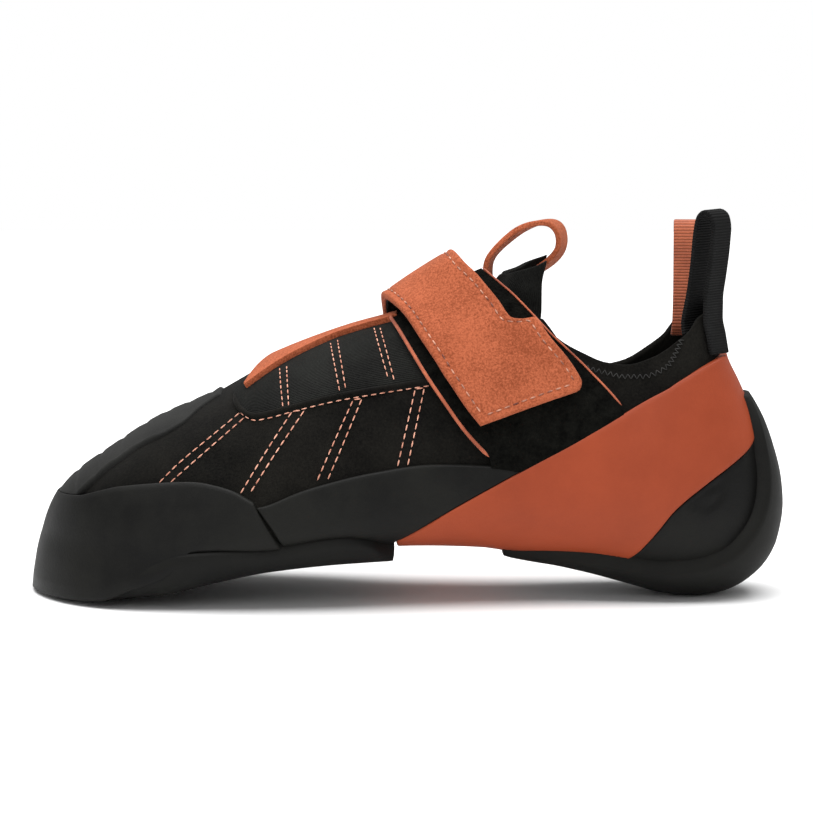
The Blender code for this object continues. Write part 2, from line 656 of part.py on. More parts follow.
# Closing flap: orange suede over the instep, anchored low on the inner side, its end free on the outer side.
FLAP_OUTER = [
    # front edge station, height and lift, rear edge station, height and lift; lifts as shares of the flap
    (0.479, 1.015, 2.60, 0.585, 1.168, 4.30), (0.488, 1.003, 2.20, 0.593, 1.147, 3.30),
    (0.498, 0.981, 1.80, 0.601, 1.115, 2.40), (0.507, 0.952, 1.50, 0.608, 1.081, 1.90),
    (0.520, 0.895, 1.25, 0.623, 1.013, 1.50), (0.533, 0.841, 1.12, 0.637, 0.956, 1.30),
    (0.541, 0.807, 1.05, 0.651, 0.952, 1.20), (0.548, 0.775, 1.00, 0.666, 0.955, 1.15),
    (0.559, 0.732, 1.00, 0.682, 0.905, 1.12), (0.570, 0.688, 1.00, 0.700, 0.842, 1.08),
    (0.580, 0.652, 1.00, 0.719, 0.769, 1.05), (0.594, 0.608, 1.00, 0.729, 0.723, 1.05),
]
FLAP_INNER = [
    # tilt in degrees, front edge station, lift, rear edge station, lift
    (-66.0, 0.480, 0.22, 0.590, 0.22), (-56.0, 0.476, 0.30, 0.582, 0.45), (-42.0, 0.473, 0.95, 0.576, 1.60),
    (-26.0, 0.472, 1.80, 0.576, 3.20), (-12.0, 0.474, 2.40, 0.580, 4.10), (-2.0, 0.478, 2.60, 0.584, 4.35),
]
columns = 7
share = np.linspace(0, 1, columns)
tilt, front_x, front_lift, rear_x, rear_lift = resample(FLAP_INNER, 11)
stations = front_x[:, None] * (1 - share) + rear_x[:, None] * share
lifts = (front_lift[:, None] * (1 - share) + rear_lift[:, None] * share) * FLAP
tilts = np.repeat(np.radians(tilt)[:, None], columns, axis=1)
inner_part = over(stations.ravel(), tilts.ravel(), lifts.ravel())
front_x, front_z, front_lift, rear_x, rear_z, rear_lift = resample(FLAP_OUTER, 19)
stations = front_x[:, None] * (1 - share) + rear_x[:, None] * share
heights = (front_z[:, None] * (1 - share) + rear_z[:, None] * share) * INSTEP_HEIGHT
lifts = (front_lift[:, None] * (1 - share) + rear_lift[:, None] * share) * FLAP
tilts = tilt_at(stations, heights, lifts + FLAP)
outer_part = over(stations.ravel(), tilts.ravel(), lifts.ravel())
flap = np.vstack([inner_part, outer_part])
sheet("strap", flap, grid_faces(len(flap) // columns, columns), FLAP, ORANGE, 0.85)

# Tongue: a stretch cuff that stands up in the front of the opening, bent round like a gutter.
TONGUE_FRONT = [(0.560, 0.957), (0.588, 0.986), (0.614, 1.026), (0.628, 1.065)]
TONGUE_ARM = [(0.655, 0.855, 0.145), (0.666, 0.960, 0.118), (0.676, 1.045, 0.122), (0.687, 1.125, 0.128)]
rows = 7
columns = 13
front_x, front_z = resample(TONGUE_FRONT, rows)
arm_x, arm_z, arm_y = resample(TONGUE_ARM, rows)
bend = np.linspace(-math.pi / 2, math.pi / 2, columns)
back = 1 - np.cos(bend)
points = np.stack([
    ((front_x[:, None] * (1 - back) + arm_x[:, None] * back) - 0.5) * LENGTH,
    arm_y[:, None] * BALL_WIDTH * np.sin(bend),
    (front_z[:, None] * (1 - back) + arm_z[:, None] * back) * INSTEP_HEIGHT,
], axis=-1)
sheet("tongue", points.reshape(-1, 3), grid_faces(rows, columns), TONGUE, DARK, 0.9, inward=True)


def ribbon(name, path, across, width, thickness, colour, roughness):
    """A strip of webbing along a path, its width along given directions."""
    reach = unit(np.asarray(across, float)) * width / 2
    grid = np.stack([path - reach, path, path + reach], axis=1)
    first = add_object(name, grid.reshape(-1, 3), grid_faces(len(path), 3), colour, roughness)
    solid = first.modifiers.new("thickness", "SOLIDIFY")
    solid.thickness = thickness
    solid.offset = 0.0
    solid.use_even_offset = True
    return first


# Pull loop on the tongue, sewn to its front and to the inner side of its inner arm.
PULL = [
    # station, sideways share, height, turn of the strip in degrees
    (0.6172, 0.000, 1.0560, 0.0), (0.6110, 0.000, 1.090, 0.0), (0.6110, 0.000, 1.120, 0.0), (0.6230, 0.000, 1.165, 4.0), (0.6400, 0.004, 1.208, 8.0),
    (0.6600, 0.012, 1.238, 14.0), (0.6800, 0.026, 1.250, 22.0), (0.6970, 0.045, 1.236, 32.0),
    (0.7060, 0.056, 1.190, 44.0), (0.7040, 0.064, 1.140, 60.0), (0.6970, 0.075, 1.090, 80.0), (0.6840, 0.081, 1.040, 90.0),
]
x, y, z, turn = resample(PULL, 31)
path = np.stack([(x - 0.5) * LENGTH, y * BALL_WIDTH, z * INSTEP_HEIGHT], axis=-1)
turn = np.radians(turn)
across = np.stack([np.sin(turn), np.cos(turn), np.zeros_like(turn)], axis=-1)
PULL_WIDTH = 0.0095
ribbon("tongue_loop", path, across, PULL_WIDTH, WEBBING + 0.0003, ORANGE, 0.85)


def heel_loop(name, way, top, width, colour):
    """A loop of webbing astride the collar: up outside, over, and down inside."""
    way = np.asarray([way])
    rim = collar_height(way)
    foot = heel_rand_top(way) + 0.0030
    middle = WEBBING / 2
    edge_angle = angle_at_height(way, rim)
    on_rim = on_shoe(way, edge_angle, 0.0)[0]
    out = on_shoe(way, edge_angle, 0.001)[0] - on_rim
    out[2] = 0
    out = unit(out)
    along = np.array([-out[1], out[0], 0.0])
    rise = top - rim[0]
    path = []
    for height in (foot[0], (foot[0] + rim[0]) / 2, rim[0] - 0.0015):
        path.append(on_shoe(way, angle_at_height(way, np.array([height])), LIFT + middle)[0])
    for outward, share in ((0.0018, 0.15), (0.0030, 0.38), (0.0042, 0.62), (0.0048, 0.83), (0.0038, 0.96),
                           (0.0008, 1.00), (-0.0024, 0.95), (-0.0044, 0.78), (-0.0058, 0.50), (-0.0070, 0.22)):
        path.append(on_rim + out * outward + np.array([0, 0, rise * share]))
    for height in (rim[0] - 0.0015, rim[0] - 0.0060):
        path.append(on_shoe(way, angle_at_height(way, np.array([height])), -(WALL + LIFT + middle + 0.0042))[0])
    path = np.array(resample([tuple(point) for point in path], 33)).T
    return ribbon(name, path, np.tile(along, (len(path), 1)), width, WEBBING, colour, 0.85)


LOOP_TOP = 1.285 * INSTEP_HEIGHT
heel_loop("heel_loop_outer", 1.045 * LENGTH, LOOP_TOP, 0.0100, DARK)
heel_loop("heel_loop_inner", -0.996 * LENGTH, LOOP_TOP - 0.0050, 0.0096, ORANGE)
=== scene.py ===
import math
import bmesh
import bpy
import numpy as np
from mathutils import Matrix, Vector


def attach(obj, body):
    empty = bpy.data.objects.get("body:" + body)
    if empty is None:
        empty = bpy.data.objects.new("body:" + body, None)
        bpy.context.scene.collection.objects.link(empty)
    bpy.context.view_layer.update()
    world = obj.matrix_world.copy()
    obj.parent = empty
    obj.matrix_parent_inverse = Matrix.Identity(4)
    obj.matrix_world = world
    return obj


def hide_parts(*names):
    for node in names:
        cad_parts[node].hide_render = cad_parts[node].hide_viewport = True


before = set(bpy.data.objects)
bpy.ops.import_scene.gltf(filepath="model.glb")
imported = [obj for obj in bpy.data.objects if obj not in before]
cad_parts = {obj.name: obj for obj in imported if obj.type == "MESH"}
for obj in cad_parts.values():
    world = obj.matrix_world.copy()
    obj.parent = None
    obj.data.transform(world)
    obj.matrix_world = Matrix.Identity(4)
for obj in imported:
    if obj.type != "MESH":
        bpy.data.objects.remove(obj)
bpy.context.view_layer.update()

# the shoe's own sizes, as in the solids
shoe = {
    "length": 0.250, "ballWidth": 0.090, "instepHeight": 0.100, "wall": 0.0020,
    "toeAxis": 0.112, "heelAxis": 0.844, "fan": 0.030, "planPower": 1.95, "heelPower": 2.5,
    "underPower": 2.6, "toeLean": 0.10, "toeBack": 0.0075, "toeClose": 0.188, "heelClose": 0.780,
}
quarter = shoe["fan"] * math.pi / 2
sideRun = (shoe["heelAxis"] - shoe["toeAxis"]) * shoe["length"]
roundRun = 2 * quarter + sideRun

# the photograph's scale and tilt: one pixel in metres, the ground line and the camera's height
view = {"pixel": 0.00033378, "middle": 406.5, "ground": 592.6, "tilt": 7.0}

# station, bottom, widest, ridge, ridge side, outer, inner, then the three squarenesses
lastTable = [
    (0.000, 0.048, 0.090, 0.285, 0.130, 0.405, 0.450, 3.0, 10.0, 8.0),
    (0.024, 0.048, 0.090, 0.325, 0.130, 0.405, 0.450, 3.0, 10.0, 8.0),
    (0.060, 0.048, 0.092, 0.388, 0.130, 0.405, 0.450, 3.0, 9.0, 8.0),
    (0.100, 0.052, 0.105, 0.455, 0.128, 0.405, 0.450, 2.6, 6.0, 6.0),
    (0.160, 0.088, 0.145, 0.556, 0.115, 0.415, 0.455, 2.2, 3.4, 4.0),
    (0.240, 0.138, 0.215, 0.655, 0.095, 0.462, 0.475, 1.9, 2.6, 3.4),
    (0.320, 0.175, 0.265, 0.768, 0.075, 0.490, 0.458, 1.8, 2.3, 3.0),
    (0.420, 0.196, 0.310, 0.868, 0.045, 0.474, 0.395, 1.8, 2.2, 3.0),
    (0.500, 0.203, 0.335, 0.928, 0.025, 0.436, 0.338, 1.8, 2.1, 3.0),
    (0.600, 0.192, 0.350, 1.035, 0.010, 0.382, 0.305, 1.7, 2.0, 2.8),
    (0.640, 0.176, 0.352, 1.065, 0.005, 0.365, 0.303, 1.6, 2.0, 2.8),
    (0.690, 0.164, 0.352, 1.055, 0.000, 0.348, 0.305, 1.6, 2.0, 2.7),
    (0.740, 0.140, 0.350, 0.955, 0.000, 0.333, 0.310, 1.55, 2.0, 2.6),
    (0.792, 0.104, 0.345, 0.890, 0.000, 0.325, 0.315, 1.5, 2.0, 2.5),
    (0.850, 0.064, 0.340, 1.000, 0.000, 0.325, 0.318, 1.5, 2.0, 2.4),
    (0.890, 0.053, 0.335, 1.110, 0.000, 0.325, 0.318, 1.5, 2.0, 2.4),
    (1.000, 0.053, 0.330, 1.250, 0.000, 0.325, 0.318, 1.5, 2.0, 2.4),
]
heelBackTable = [
    (0.053, 0.890), (0.070, 0.921), (0.100, 0.942), (0.150, 0.962), (0.210, 0.973), (0.310, 0.979),
    (0.380, 0.977), (0.494, 0.967), (0.600, 0.953), (0.702, 0.935), (0.804, 0.917), (0.940, 0.910),
    (1.050, 0.904),
]
spineTable = [
    (0.112, 0.110, 0.220), (0.300, 0.070, 0.400), (0.500, 0.020, 0.520), (0.700, 0.000, 0.470),
    (0.844, 0.000, 0.400),
]


def smoothLine(table, column=1):
    # a smooth line through one column, sampled finely once
    x = np.array([row[0] for row in table], float)
    y = np.array([row[column] for row in table], float)
    step = np.diff(x)
    slope = np.diff(y) / step
    tangent = np.zeros_like(y)
    both = slope[:-1] * slope[1:]
    safe = np.where(both > 0, slope[:-1] + slope[1:], 1.0)
    tangent[1:-1] = np.where(both > 0, 2 * both / safe, 0.0)
    tangent[0] = slope[0]
    tangent[-1] = slope[-1]
    q = np.linspace(x[0], x[-1], 900)
    i = np.clip(np.searchsorted(x, q) - 1, 0, len(x) - 2)
    t = (q - x[i]) / step[i]
    rest = 1 - t
    line = (rest * rest * ((1 + 2 * t) * y[i] + t * step[i] * tangent[i])
            + t * t * ((3 - 2 * t) * y[i + 1] - rest * step[i] * tangent[i + 1]))
    return lambda at: np.interp(at, q, line)


def columnsOf(keyed, at):
    return [smoothLine(keyed, column)(at) for column in range(1, len(keyed[0]))]


def evenRows(rows, count):
    # a table's columns, smooth between its rows
    keyed = [(index, *row) for index, row in enumerate(rows)]
    return columnsOf(keyed, np.linspace(0, len(rows) - 1, count))


def mix(first, second, share):
    return first * (1 - share) + second * share


def ease(share):
    # kept between 0 and 1, slow at both ends
    share = np.clip(share, 0, 1)
    return share * share * (3 - 2 * share)


def unit(vector):
    return vector / np.maximum(np.linalg.norm(vector, axis=-1, keepdims=True), 1e-12)


def closeIn(low, high, under):
    # halves a span again and again round the place where under() changes
    for turn in range(20):
        middle = (low + high) / 2
        below = under(middle)
        low, high = np.where(below, middle, low), np.where(below, high, middle)
    return (low + high) / 2


def runAlong(net, axis=0):
    # the distance gone along a path, or along one side of a net
    step = np.linalg.norm(np.diff(net, axis=axis), axis=-1)
    start = np.zeros_like(np.take(step, [0], axis=axis))
    return np.concatenate([start, np.cumsum(step, axis=axis)], axis=axis)


def readAt(net, a, b):
    # a net's value between its four nearest spots
    i, j = np.minimum(a.astype(int), len(net) - 2), np.minimum(b.astype(int), net.shape[1] - 2)
    s, t = (a - i)[..., None], (b - j)[..., None]
    return (net[i, j] * (1 - s) * (1 - t) + net[i + 1, j] * s * (1 - t)
            + net[i, j + 1] * (1 - s) * t + net[i + 1, j + 1] * s * t)


lastLines = [smoothLine(lastTable, column) for column in range(1, 10)]
heelBack = smoothLine(heelBackTable)
spineSide = smoothLine(spineTable, 1)
spineHeight = smoothLine(spineTable, 2)


def insideShoe(point):
    x, y, z = point[..., 0], point[..., 1], point[..., 2]
    station = x / shoe["length"] + 0.5
    low, wide, high, ridge, outer, inner, topPower, sidePower, underSide = [line(station) for line in lastLines]
    low, wide, high = (level * shoe["instepHeight"] for level in (low, wide, high))
    ridge = ridge * shoe["ballWidth"]
    half = np.where(y < ridge, outer * shoe["ballWidth"] + ridge, inner * shoe["ballWidth"] - ridge)
    across = np.abs(y - ridge) / half
    above = z >= wide
    up = np.where(above, (z - wide) / (high - wide), (wide - z) / (wide - low))
    upPower = np.where(above, topPower, shoe["underPower"])
    outPower = np.where(above, sidePower, underSide)
    left = np.clip(1 - np.clip(up, 0, 1) ** upPower, 0, 1) ** (1 / outPower)
    toeLine = shoe["toeBack"] + shoe["toeLean"] * z / shoe["length"]
    toe = np.clip((shoe["toeClose"] - station) / (shoe["toeClose"] - toeLine), 0, None)
    heel = np.clip((station - shoe["heelClose"]) / (heelBack(z / shoe["instepHeight"]) - shoe["heelClose"]), 0, None)
    plan = (across ** shoe["planPower"] + toe ** shoe["planPower"]) ** (1 / shoe["planPower"])
    heelRoom = np.clip(1 - np.clip(heel, 0, 1) ** shoe["heelPower"], 0, 1) ** (1 / shoe["heelPower"])
    room = np.maximum(left, 1e-9) * heelRoom
    return (plan < room) & (up < 1) & (heel < 1)


def reachOut(origin, direction):
    near = np.zeros(origin.shape[:-1])
    far = np.full(origin.shape[:-1], shoe["length"])
    for turn in range(22):
        middle = (near + far) / 2
        within = insideShoe(origin + direction * middle[..., None])
        near = np.where(within, middle, near)
        far = np.where(within, far, middle)
    return near


def skinAt(origin, direction):
    # place and outward normal where a ray from the spine meets the shoe
    direction = unit(direction)
    helper = np.where(np.abs(direction[..., 1:2]) < 0.8, np.array([0.0, 1.0, 0.0]),
                      np.array([1.0, 0.0, 0.0]))
    first = unit(np.cross(direction, helper))
    second = np.cross(direction, first)
    spots = []
    for turn in (0.02 * first, -0.02 * first, 0.02 * second, -0.02 * second):
        bent = unit(direction + turn)
        spots.append(origin + bent * reachOut(origin, bent)[..., None])
    normal = unit(np.cross(spots[0] - spots[1], spots[2] - spots[3]))
    facing = np.sign(np.sum(normal * direction, axis=-1, keepdims=True))
    return origin + direction * reachOut(origin, direction)[..., None], normal * facing


def rayFrom(way, angle):
    size = np.abs(way)
    side = np.where(way >= 0, -1.0, 1.0)
    toeTurn = np.clip(size / shoe["fan"], 0, math.pi / 2)
    heelTurn = np.clip((size - quarter - sideRun) / shoe["fan"], 0, math.pi / 2)
    station = shoe["toeAxis"] + np.clip(size - quarter, 0, sideRun) / shoe["length"]
    origin = np.stack([(station - 0.5) * shoe["length"], spineSide(station) * shoe["ballWidth"],
                       spineHeight(station) * shoe["instepHeight"]], axis=-1)
    flat = unit(np.stack([-np.cos(toeTurn) + np.sin(heelTurn),
                          side * np.where(heelTurn > 0, np.cos(heelTurn), np.sin(toeTurn)),
                          np.zeros_like(toeTurn)], axis=-1))
    return origin, flat * np.cos(angle)[..., None] + np.array([0.0, 0.0, 1.0]) * np.sin(angle)[..., None]


# the whole outside of the foot, found once on a fine net and read from it afterwards
netWays = np.linspace(-roundRun, roundRun, 463)
netAngles = np.linspace(-math.pi / 2, math.pi / 2, 163)
netPlace, netNormal = skinAt(*rayFrom(*np.meshgrid(netWays, netAngles, indexing="ij")))
print("surface net ready")


def readNet(net, way, angle):
    a = np.clip((way - netWays[0]) / (netWays[1] - netWays[0]), 0, len(netWays) - 1.001)
    b = np.clip((angle - netAngles[0]) / (netAngles[1] - netAngles[0]), 0, len(netAngles) - 1.001)
    return readAt(net, a, b)


def normalAt(way, angle):
    return unit(readNet(netNormal, way, angle))


def onShoe(way, angle, lift=0.0):
    way, angle = np.broadcast_arrays(np.asarray(way, float), np.asarray(angle, float))
    return readNet(netPlace, way, angle) + normalAt(way, angle) * np.broadcast_to(lift, way.shape)[...,
                                                                                                   None]


tiltSin = math.sin(math.radians(view["tilt"]))
tiltCos = math.cos(math.radians(view["tilt"]))


def toPhoto(place):
    return (view["middle"] + place[..., 0] / view["pixel"],
            view["ground"] - (tiltCos * place[..., 2] + tiltSin * place[..., 1]) / view["pixel"])


def wayOf(x):
    return quarter + x + shoe["length"] / 2 - shoe["toeAxis"] * shoe["length"]


def wayOfPixel(across):
    return wayOf((across - view["middle"]) * view["pixel"])


lowestAngle = math.radians(-70)


def angleAtHeight(way, height):
    return closeIn(np.full(np.shape(way), lowestAngle), np.full(np.shape(way), math.pi / 2),
                   lambda angle: readNet(netPlace, way, angle)[..., 2] < height)


def angleOnPhoto(way, line, lift=0.0):
    # where the outer side crosses a line drawn on the photograph
    def under(angle):
        across, down = toPhoto(onShoe(way, angle, lift))
        return down > line(across)

    return closeIn(np.full(way.shape, lowestAngle), np.full(way.shape, math.pi / 2), under)


def angleOnLine(way, line):
    # the inner side takes the height that the line has on the outer side
    outer = np.abs(way)
    angle = angleOnPhoto(outer, line)
    return np.where(way >= 0, angle, angleAtHeight(way, readNet(netPlace, outer, angle)[..., 2]))


def angleAtReach(way, share):
    # where the underside has come in to a share of the foot's width
    def reach(angle):
        return np.linalg.norm((readNet(netPlace, way, angle) - rayFrom(way, angle)[0])[..., :2], axis=-1)

    wide = reach(np.zeros(way.shape))
    return closeIn(np.full(way.shape, -math.pi / 2), np.zeros(way.shape),
                   lambda angle: reach(angle) < share * wide)


def surfaceOf(along, across):
    # flat coordinates, in metres, for the materials
    return np.stack(np.meshgrid(along, across, indexing="ij"), axis=-1)


def gridPiece(name, spots, surface, material, replaces=()):
    # a grid whose vertices are placed one by one, rows that meet being joined
    columns, rows = spots.shape[:2]
    shape = bmesh.new()
    bmesh.ops.create_grid(shape, x_segments=columns - 1, y_segments=rows - 1, size=0.5)
    shape.verts.ensure_lookup_table()
    flat = np.array([vert.co[:] for vert in shape.verts]) + 0.5
    i = np.round(flat[:, 0] * (columns - 1)).astype(int)
    j = np.round(flat[:, 1] * (rows - 1)).astype(int)
    for vert, spot in zip(shape.verts, spots[i, j]):
        vert.co = spot
    layer = shape.loops.layers.uv.new("surface")
    flatPlaces = surface[i, j]
    for face in shape.faces:
        face.smooth = True
        for loop in face.loops:
            loop[layer].uv = flatPlaces[loop.vert.index]
    bmesh.ops.remove_doubles(shape, verts=shape.verts[:], dist=2e-6)
    bmesh.ops.dissolve_degenerate(shape, edges=shape.edges[:], dist=1e-6)
    bmesh.ops.recalc_face_normals(shape, faces=shape.faces[:])
    return finishPiece(shape, name, material, replaces)


def finishPiece(shape, name, material, replaces=()):
    mesh = bpy.data.meshes.new(name)
    shape.to_mesh(mesh)
    shape.free()
    piece = bpy.data.objects.new(name, mesh)
    bpy.context.scene.collection.objects.link(piece)
    mesh.materials.append(material)
    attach(piece, "root")
    if replaces:
        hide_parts(*replaces)
    return piece


# stops close together at a rounded edge
hemStops = (0.0, 0.00012, 0.0004, 0.0009)


def edgeStops(length, spacing, hems=hemStops):
    # distances across a panel, close together at both hems
    hems = [hem for hem in hems if hem < length * 0.3]
    count = max(2, int(round((length - 2 * hems[-1]) / spacing)))
    inner = np.linspace(hems[-1], length - hems[-1], count + 1)
    return np.array(hems[:-1] + list(inner) + [length - hem for hem in hems[:-1]][::-1])


def hemShape(distance, radius):
    # a rounded edge: nothing at the border, full height one radius in
    t = np.clip(distance / radius, 0, 1)
    return np.sqrt(np.clip(1 - (1 - t) ** 2, 0, 1))


def wayOnTravel(travel):
    # travel past the back of the heel goes on along the inner side
    return np.where(travel > roundRun, travel - 2 * roundRun, travel)


sunk = 0.0005


def panel(name, ways, low, high, thickness, material, lift=0.0002, spacing=0.0022, radius=0.0008,
          relief=None,
          shift=None, openLow=False, openHigh=False, grounded=False, settle=None, replaces=()):
    # rubber or knit laid on the shoe between two edges, its rims rounded down into what is under it
    start, end = ways
    travel = start + np.sign(end - start) * edgeStops(abs(end - start), spacing)
    wayStops = wayOnTravel(travel)
    lowAngle, highAngle = low(wayStops), high(wayStops)
    fine = np.linspace(0, 1, 41)
    line = onShoe(wayStops[:, None], mix(lowAngle[:, None], highAngle[:, None], fine))
    long = runAlong(line, 1)
    hems = np.array(hemStops)
    k = len(hems) - 1
    count = max(2, int(round(long[:, -1].max() / spacing)))
    rows = 2 * k + count + 1
    columns = len(wayStops)
    full = long[:, -1:]
    j = np.arange(rows)[None, :]
    squeeze = np.minimum(1.0, full / (4 * hems[-1]))
    distance = np.where(j < k, hems[np.clip(j, 0, k)] * squeeze,
                        np.where(j > rows - 1 - k, full - hems[np.clip(rows - 1 - j, 0, k)] * squeeze,
                                 hems[-1] * squeeze + (full - 2 * hems[-1] * squeeze) * np.clip((j - k) / count, 0, 1)))
    share = np.array([np.interp(distance[column], long[column], fine) for column in range(columns)])
    way = np.repeat(wayStops[:, None], rows, axis=1)
    if shift is not None:
        way = way + shift(way, share)
    order = np.argsort(wayStops)
    if shift is None:
        lowHere, highHere = lowAngle[:, None], highAngle[:, None]
    else:
        lowHere = np.interp(way, wayStops[order], lowAngle[order])
        highHere = np.interp(way, wayStops[order], highAngle[order])
    angle = mix(lowHere, highHere, share)
    fromEdge = np.full(share.shape, 1.0)
    if not openLow:
        fromEdge = np.minimum(fromEdge, distance)
    if not openHigh:
        fromEdge = np.minimum(fromEdge, full - distance)
    fromEdge = np.minimum(fromEdge, np.minimum(np.abs(travel - start), np.abs(end - travel))[:, None])
    way, angle, fromEdge = way.ravel(), angle.ravel(), fromEdge.ravel()
    base = onShoe(way, angle)
    normal = normalAt(way, angle)
    deep = thickness(way, angle, normal) if callable(thickness) else thickness
    height = -sunk + (deep + lift + sunk) * hemShape(fromEdge, radius)
    if relief is not None:
        height = height + relief(way, angle, base, fromEdge) * np.clip(fromEdge / 0.0015, 0, 1)
    spots = base + normal * height[:, None]
    if settle is not None:
        spots = settle(way, spots, fromEdge)
    if grounded:
        spots[:, 2] = np.maximum(spots[:, 2], 0.0)
    surface = np.stack([np.repeat(travel[:, None], rows, axis=1), distance], axis=-1)
    return gridPiece(name, spots.reshape(columns, rows, 3), surface, material, replaces)


def constant(angle):
    return lambda way: np.full(np.shape(way), angle)


def tubePiece(name, path, radius, material):
    # a rounded cord or fold along a path, tapering in at its ends
    count, sides = len(path), 8
    first = unit(np.cross(unit(np.gradient(path, axis=0)), np.array([0.0, 0.0, 1.0])))
    second = np.cross(first, unit(np.gradient(path, axis=0)))
    thick = radius * np.clip(np.minimum(np.arange(count), np.arange(count)[::-1]) / 1.5, 0.02, 1)
    turn = 2 * math.pi * (np.arange(sides + 1) % sides) / sides
    ring = first[:, None] * np.cos(turn)[:, None] + second[:, None] * np.sin(turn)[:, None]
    spots = path[:, None] + ring * thick[:, None, None]
    gridPiece(name, spots, surfaceOf(np.arange(count) * 0.0014, turn * radius), material)


def resample(path, spacing):
    long = runAlong(path)
    at = np.linspace(0, long[-1], max(2, int(round(long[-1] / spacing)) + 1))
    return np.stack([np.interp(at, long, path[:, axis]) for axis in range(path.shape[1])], axis=1)


def smoothPath(points, spacing):
    return resample(np.stack(evenRows(points, 30 * (len(points) - 1) + 2), axis=1), spacing)


def relax(path):
    # evens out a path or rows of spots in place, its ends held
    for turn in range(40):
        path[1:-1] = path[:-2] * 0.25 + path[1:-1] * 0.5 + path[2:] * 0.25


def onPhotoPath(points, lift, spacing):
    # a path drawn on the photograph, laid on the shoe's outer side at a lift
    pixels = smoothPath(points, spacing / view["pixel"])
    way = wayOfPixel(pixels[:, 0])
    angle = angleOnPhoto(way, lambda across: pixels[:, 1], lift)
    return onShoe(way, angle, lift), normalAt(way, angle)


stitchRuns = {}


def stitchLine(thread, path, normal, length, gap, radius):
    # one row of short threads, each a small rounded bar lying on the surface
    long = runAlong(path)
    for begin in np.arange(gap / 2, long[-1] - length, length + gap):
        spots = [np.array([np.interp(where, long, path[:, axis]) for axis in range(3)])
                 for where in (begin, begin + length / 2, begin + length)]
        up = np.array([np.interp(begin + length / 2, long, normal[:, axis]) for axis in range(3)])
        stitchRuns.setdefault(thread, []).append((spots, unit(up), radius))


def makeStitches(thread, name, material):
    shape = bmesh.new()
    for spots, up, radius in stitchRuns[thread]:
        along = spots[2] - spots[0]
        half = np.linalg.norm(along) / 2
        along = unit(along)
        aside = unit(np.cross(along, up))
        frameHere = Matrix([[aside[k] * radius, up[k] * radius * 0.85, along[k] * half * 1.06, spots[1][k]]
                            for k in range(3)] + [[0, 0, 0, 1]])
        bmesh.ops.create_uvsphere(shape, u_segments=6, v_segments=4, radius=1.0, matrix=frameHere)
    bmesh.ops.recalc_face_normals(shape, faces=shape.faces[:])
    for face in shape.faces:
        face.smooth = True
    return finishPiece(shape, name, material)


def newGroup(name, inputs, outputs):
    tree = bpy.data.node_groups.new(name, "ShaderNodeTree")
    for label, kind in inputs:
        tree.interface.new_socket(name=label, in_out="INPUT", socket_type=kind)
    for label, kind in outputs:
        tree.interface.new_socket(name=label, in_out="OUTPUT", socket_type=kind)
    return tree, tree.nodes.new("NodeGroupInput"), tree.nodes.new("NodeGroupOutput")


def addNode(tree, kind, values=None, **settings):
    made = tree.nodes.new(kind)
    for key, value in settings.items():
        setattr(made, key, value)
    for key, value in (values or {}).items():
        made.inputs[key].default_value = value
    return made


def mathNode(tree, operation, first, second, clamp=False):
    made = addNode(tree, "ShaderNodeMath", operation=operation, use_clamp=clamp)
    for index, value in enumerate((first, second)):
        if value is None:
            continue
        if isinstance(value, (int, float)):
            made.inputs[index].default_value = value
        else:
            tree.links.new(value, made.inputs[index])
    return made.outputs[0]


def grainGroup():
    # fine grain over a coarser unevenness; Height and Tone both run from 0 to 1
    tree, start, end = newGroup("fine grain", [("Vector", "NodeSocketVector"), ("Grain", "NodeSocketFloat"),
                                               ("Patch", "NodeSocketFloat"),
                                               ("Contrast", "NodeSocketFloat")],
                                [("Height", "NodeSocketFloat"), ("Tone", "NodeSocketFloat"),
                                 ("Patches", "NodeSocketFloat")])
    coarse = addNode(tree, "ShaderNodeTexNoise", {"Detail": 5.0, "Roughness": 0.6})
    fine = addNode(tree, "ShaderNodeTexNoise", {"Detail": 4.0, "Roughness": 0.7})
    cells = addNode(tree, "ShaderNodeTexVoronoi", feature="SMOOTH_F1")
    for made, socket in ((coarse, "Patch"), (fine, "Grain"), (cells, "Grain")):
        tree.links.new(start.outputs["Vector"], made.inputs["Vector"])
        tree.links.new(start.outputs[socket], made.inputs["Scale"])
    both = mathNode(tree, "ADD", mathNode(tree, "MULTIPLY", fine.outputs["Fac"], 0.65),
                    mathNode(tree, "MULTIPLY", cells.outputs["Distance"], 0.45))
    spread = addNode(tree, "ShaderNodeMapRange", {"From Min": 0.36, "From Max": 0.64})
    tree.links.new(coarse.outputs["Fac"], spread.inputs["Value"])
    rest = mathNode(tree, "SUBTRACT", 1.0, start.outputs["Contrast"])
    blend = mathNode(tree, "ADD", mathNode(tree, "MULTIPLY", spread.outputs["Result"],
                                           start.outputs["Contrast"]),
                     mathNode(tree, "MULTIPLY", fine.outputs["Fac"], rest), clamp=True)
    tree.links.new(both, end.inputs["Height"])
    tree.links.new(blend, end.inputs["Tone"])
    tree.links.new(spread.outputs["Result"], end.inputs["Patches"])
    return tree


def ribGroup():
    # even ribs along one coordinate, a pitch apart, with a slight waver
    tree, start, end = newGroup("ribs", [("Coordinate", "NodeSocketFloat"), ("Pitch", "NodeSocketFloat"),
                                         ("Waver", "NodeSocketFloat")], [("Height", "NodeSocketFloat")])
    turns = mathNode(tree, "DIVIDE", start.outputs["Coordinate"], start.outputs["Pitch"])
    turns = mathNode(tree, "ADD", turns, start.outputs["Waver"])
    wave = mathNode(tree, "SINE", mathNode(tree, "MULTIPLY", turns, 2 * math.pi), None)
    tree.links.new(mathNode(tree, "MULTIPLY_ADD", wave, 0.5), end.inputs["Height"])
    return tree


fineGrain = grainGroup()
evenRibs = ribGroup()


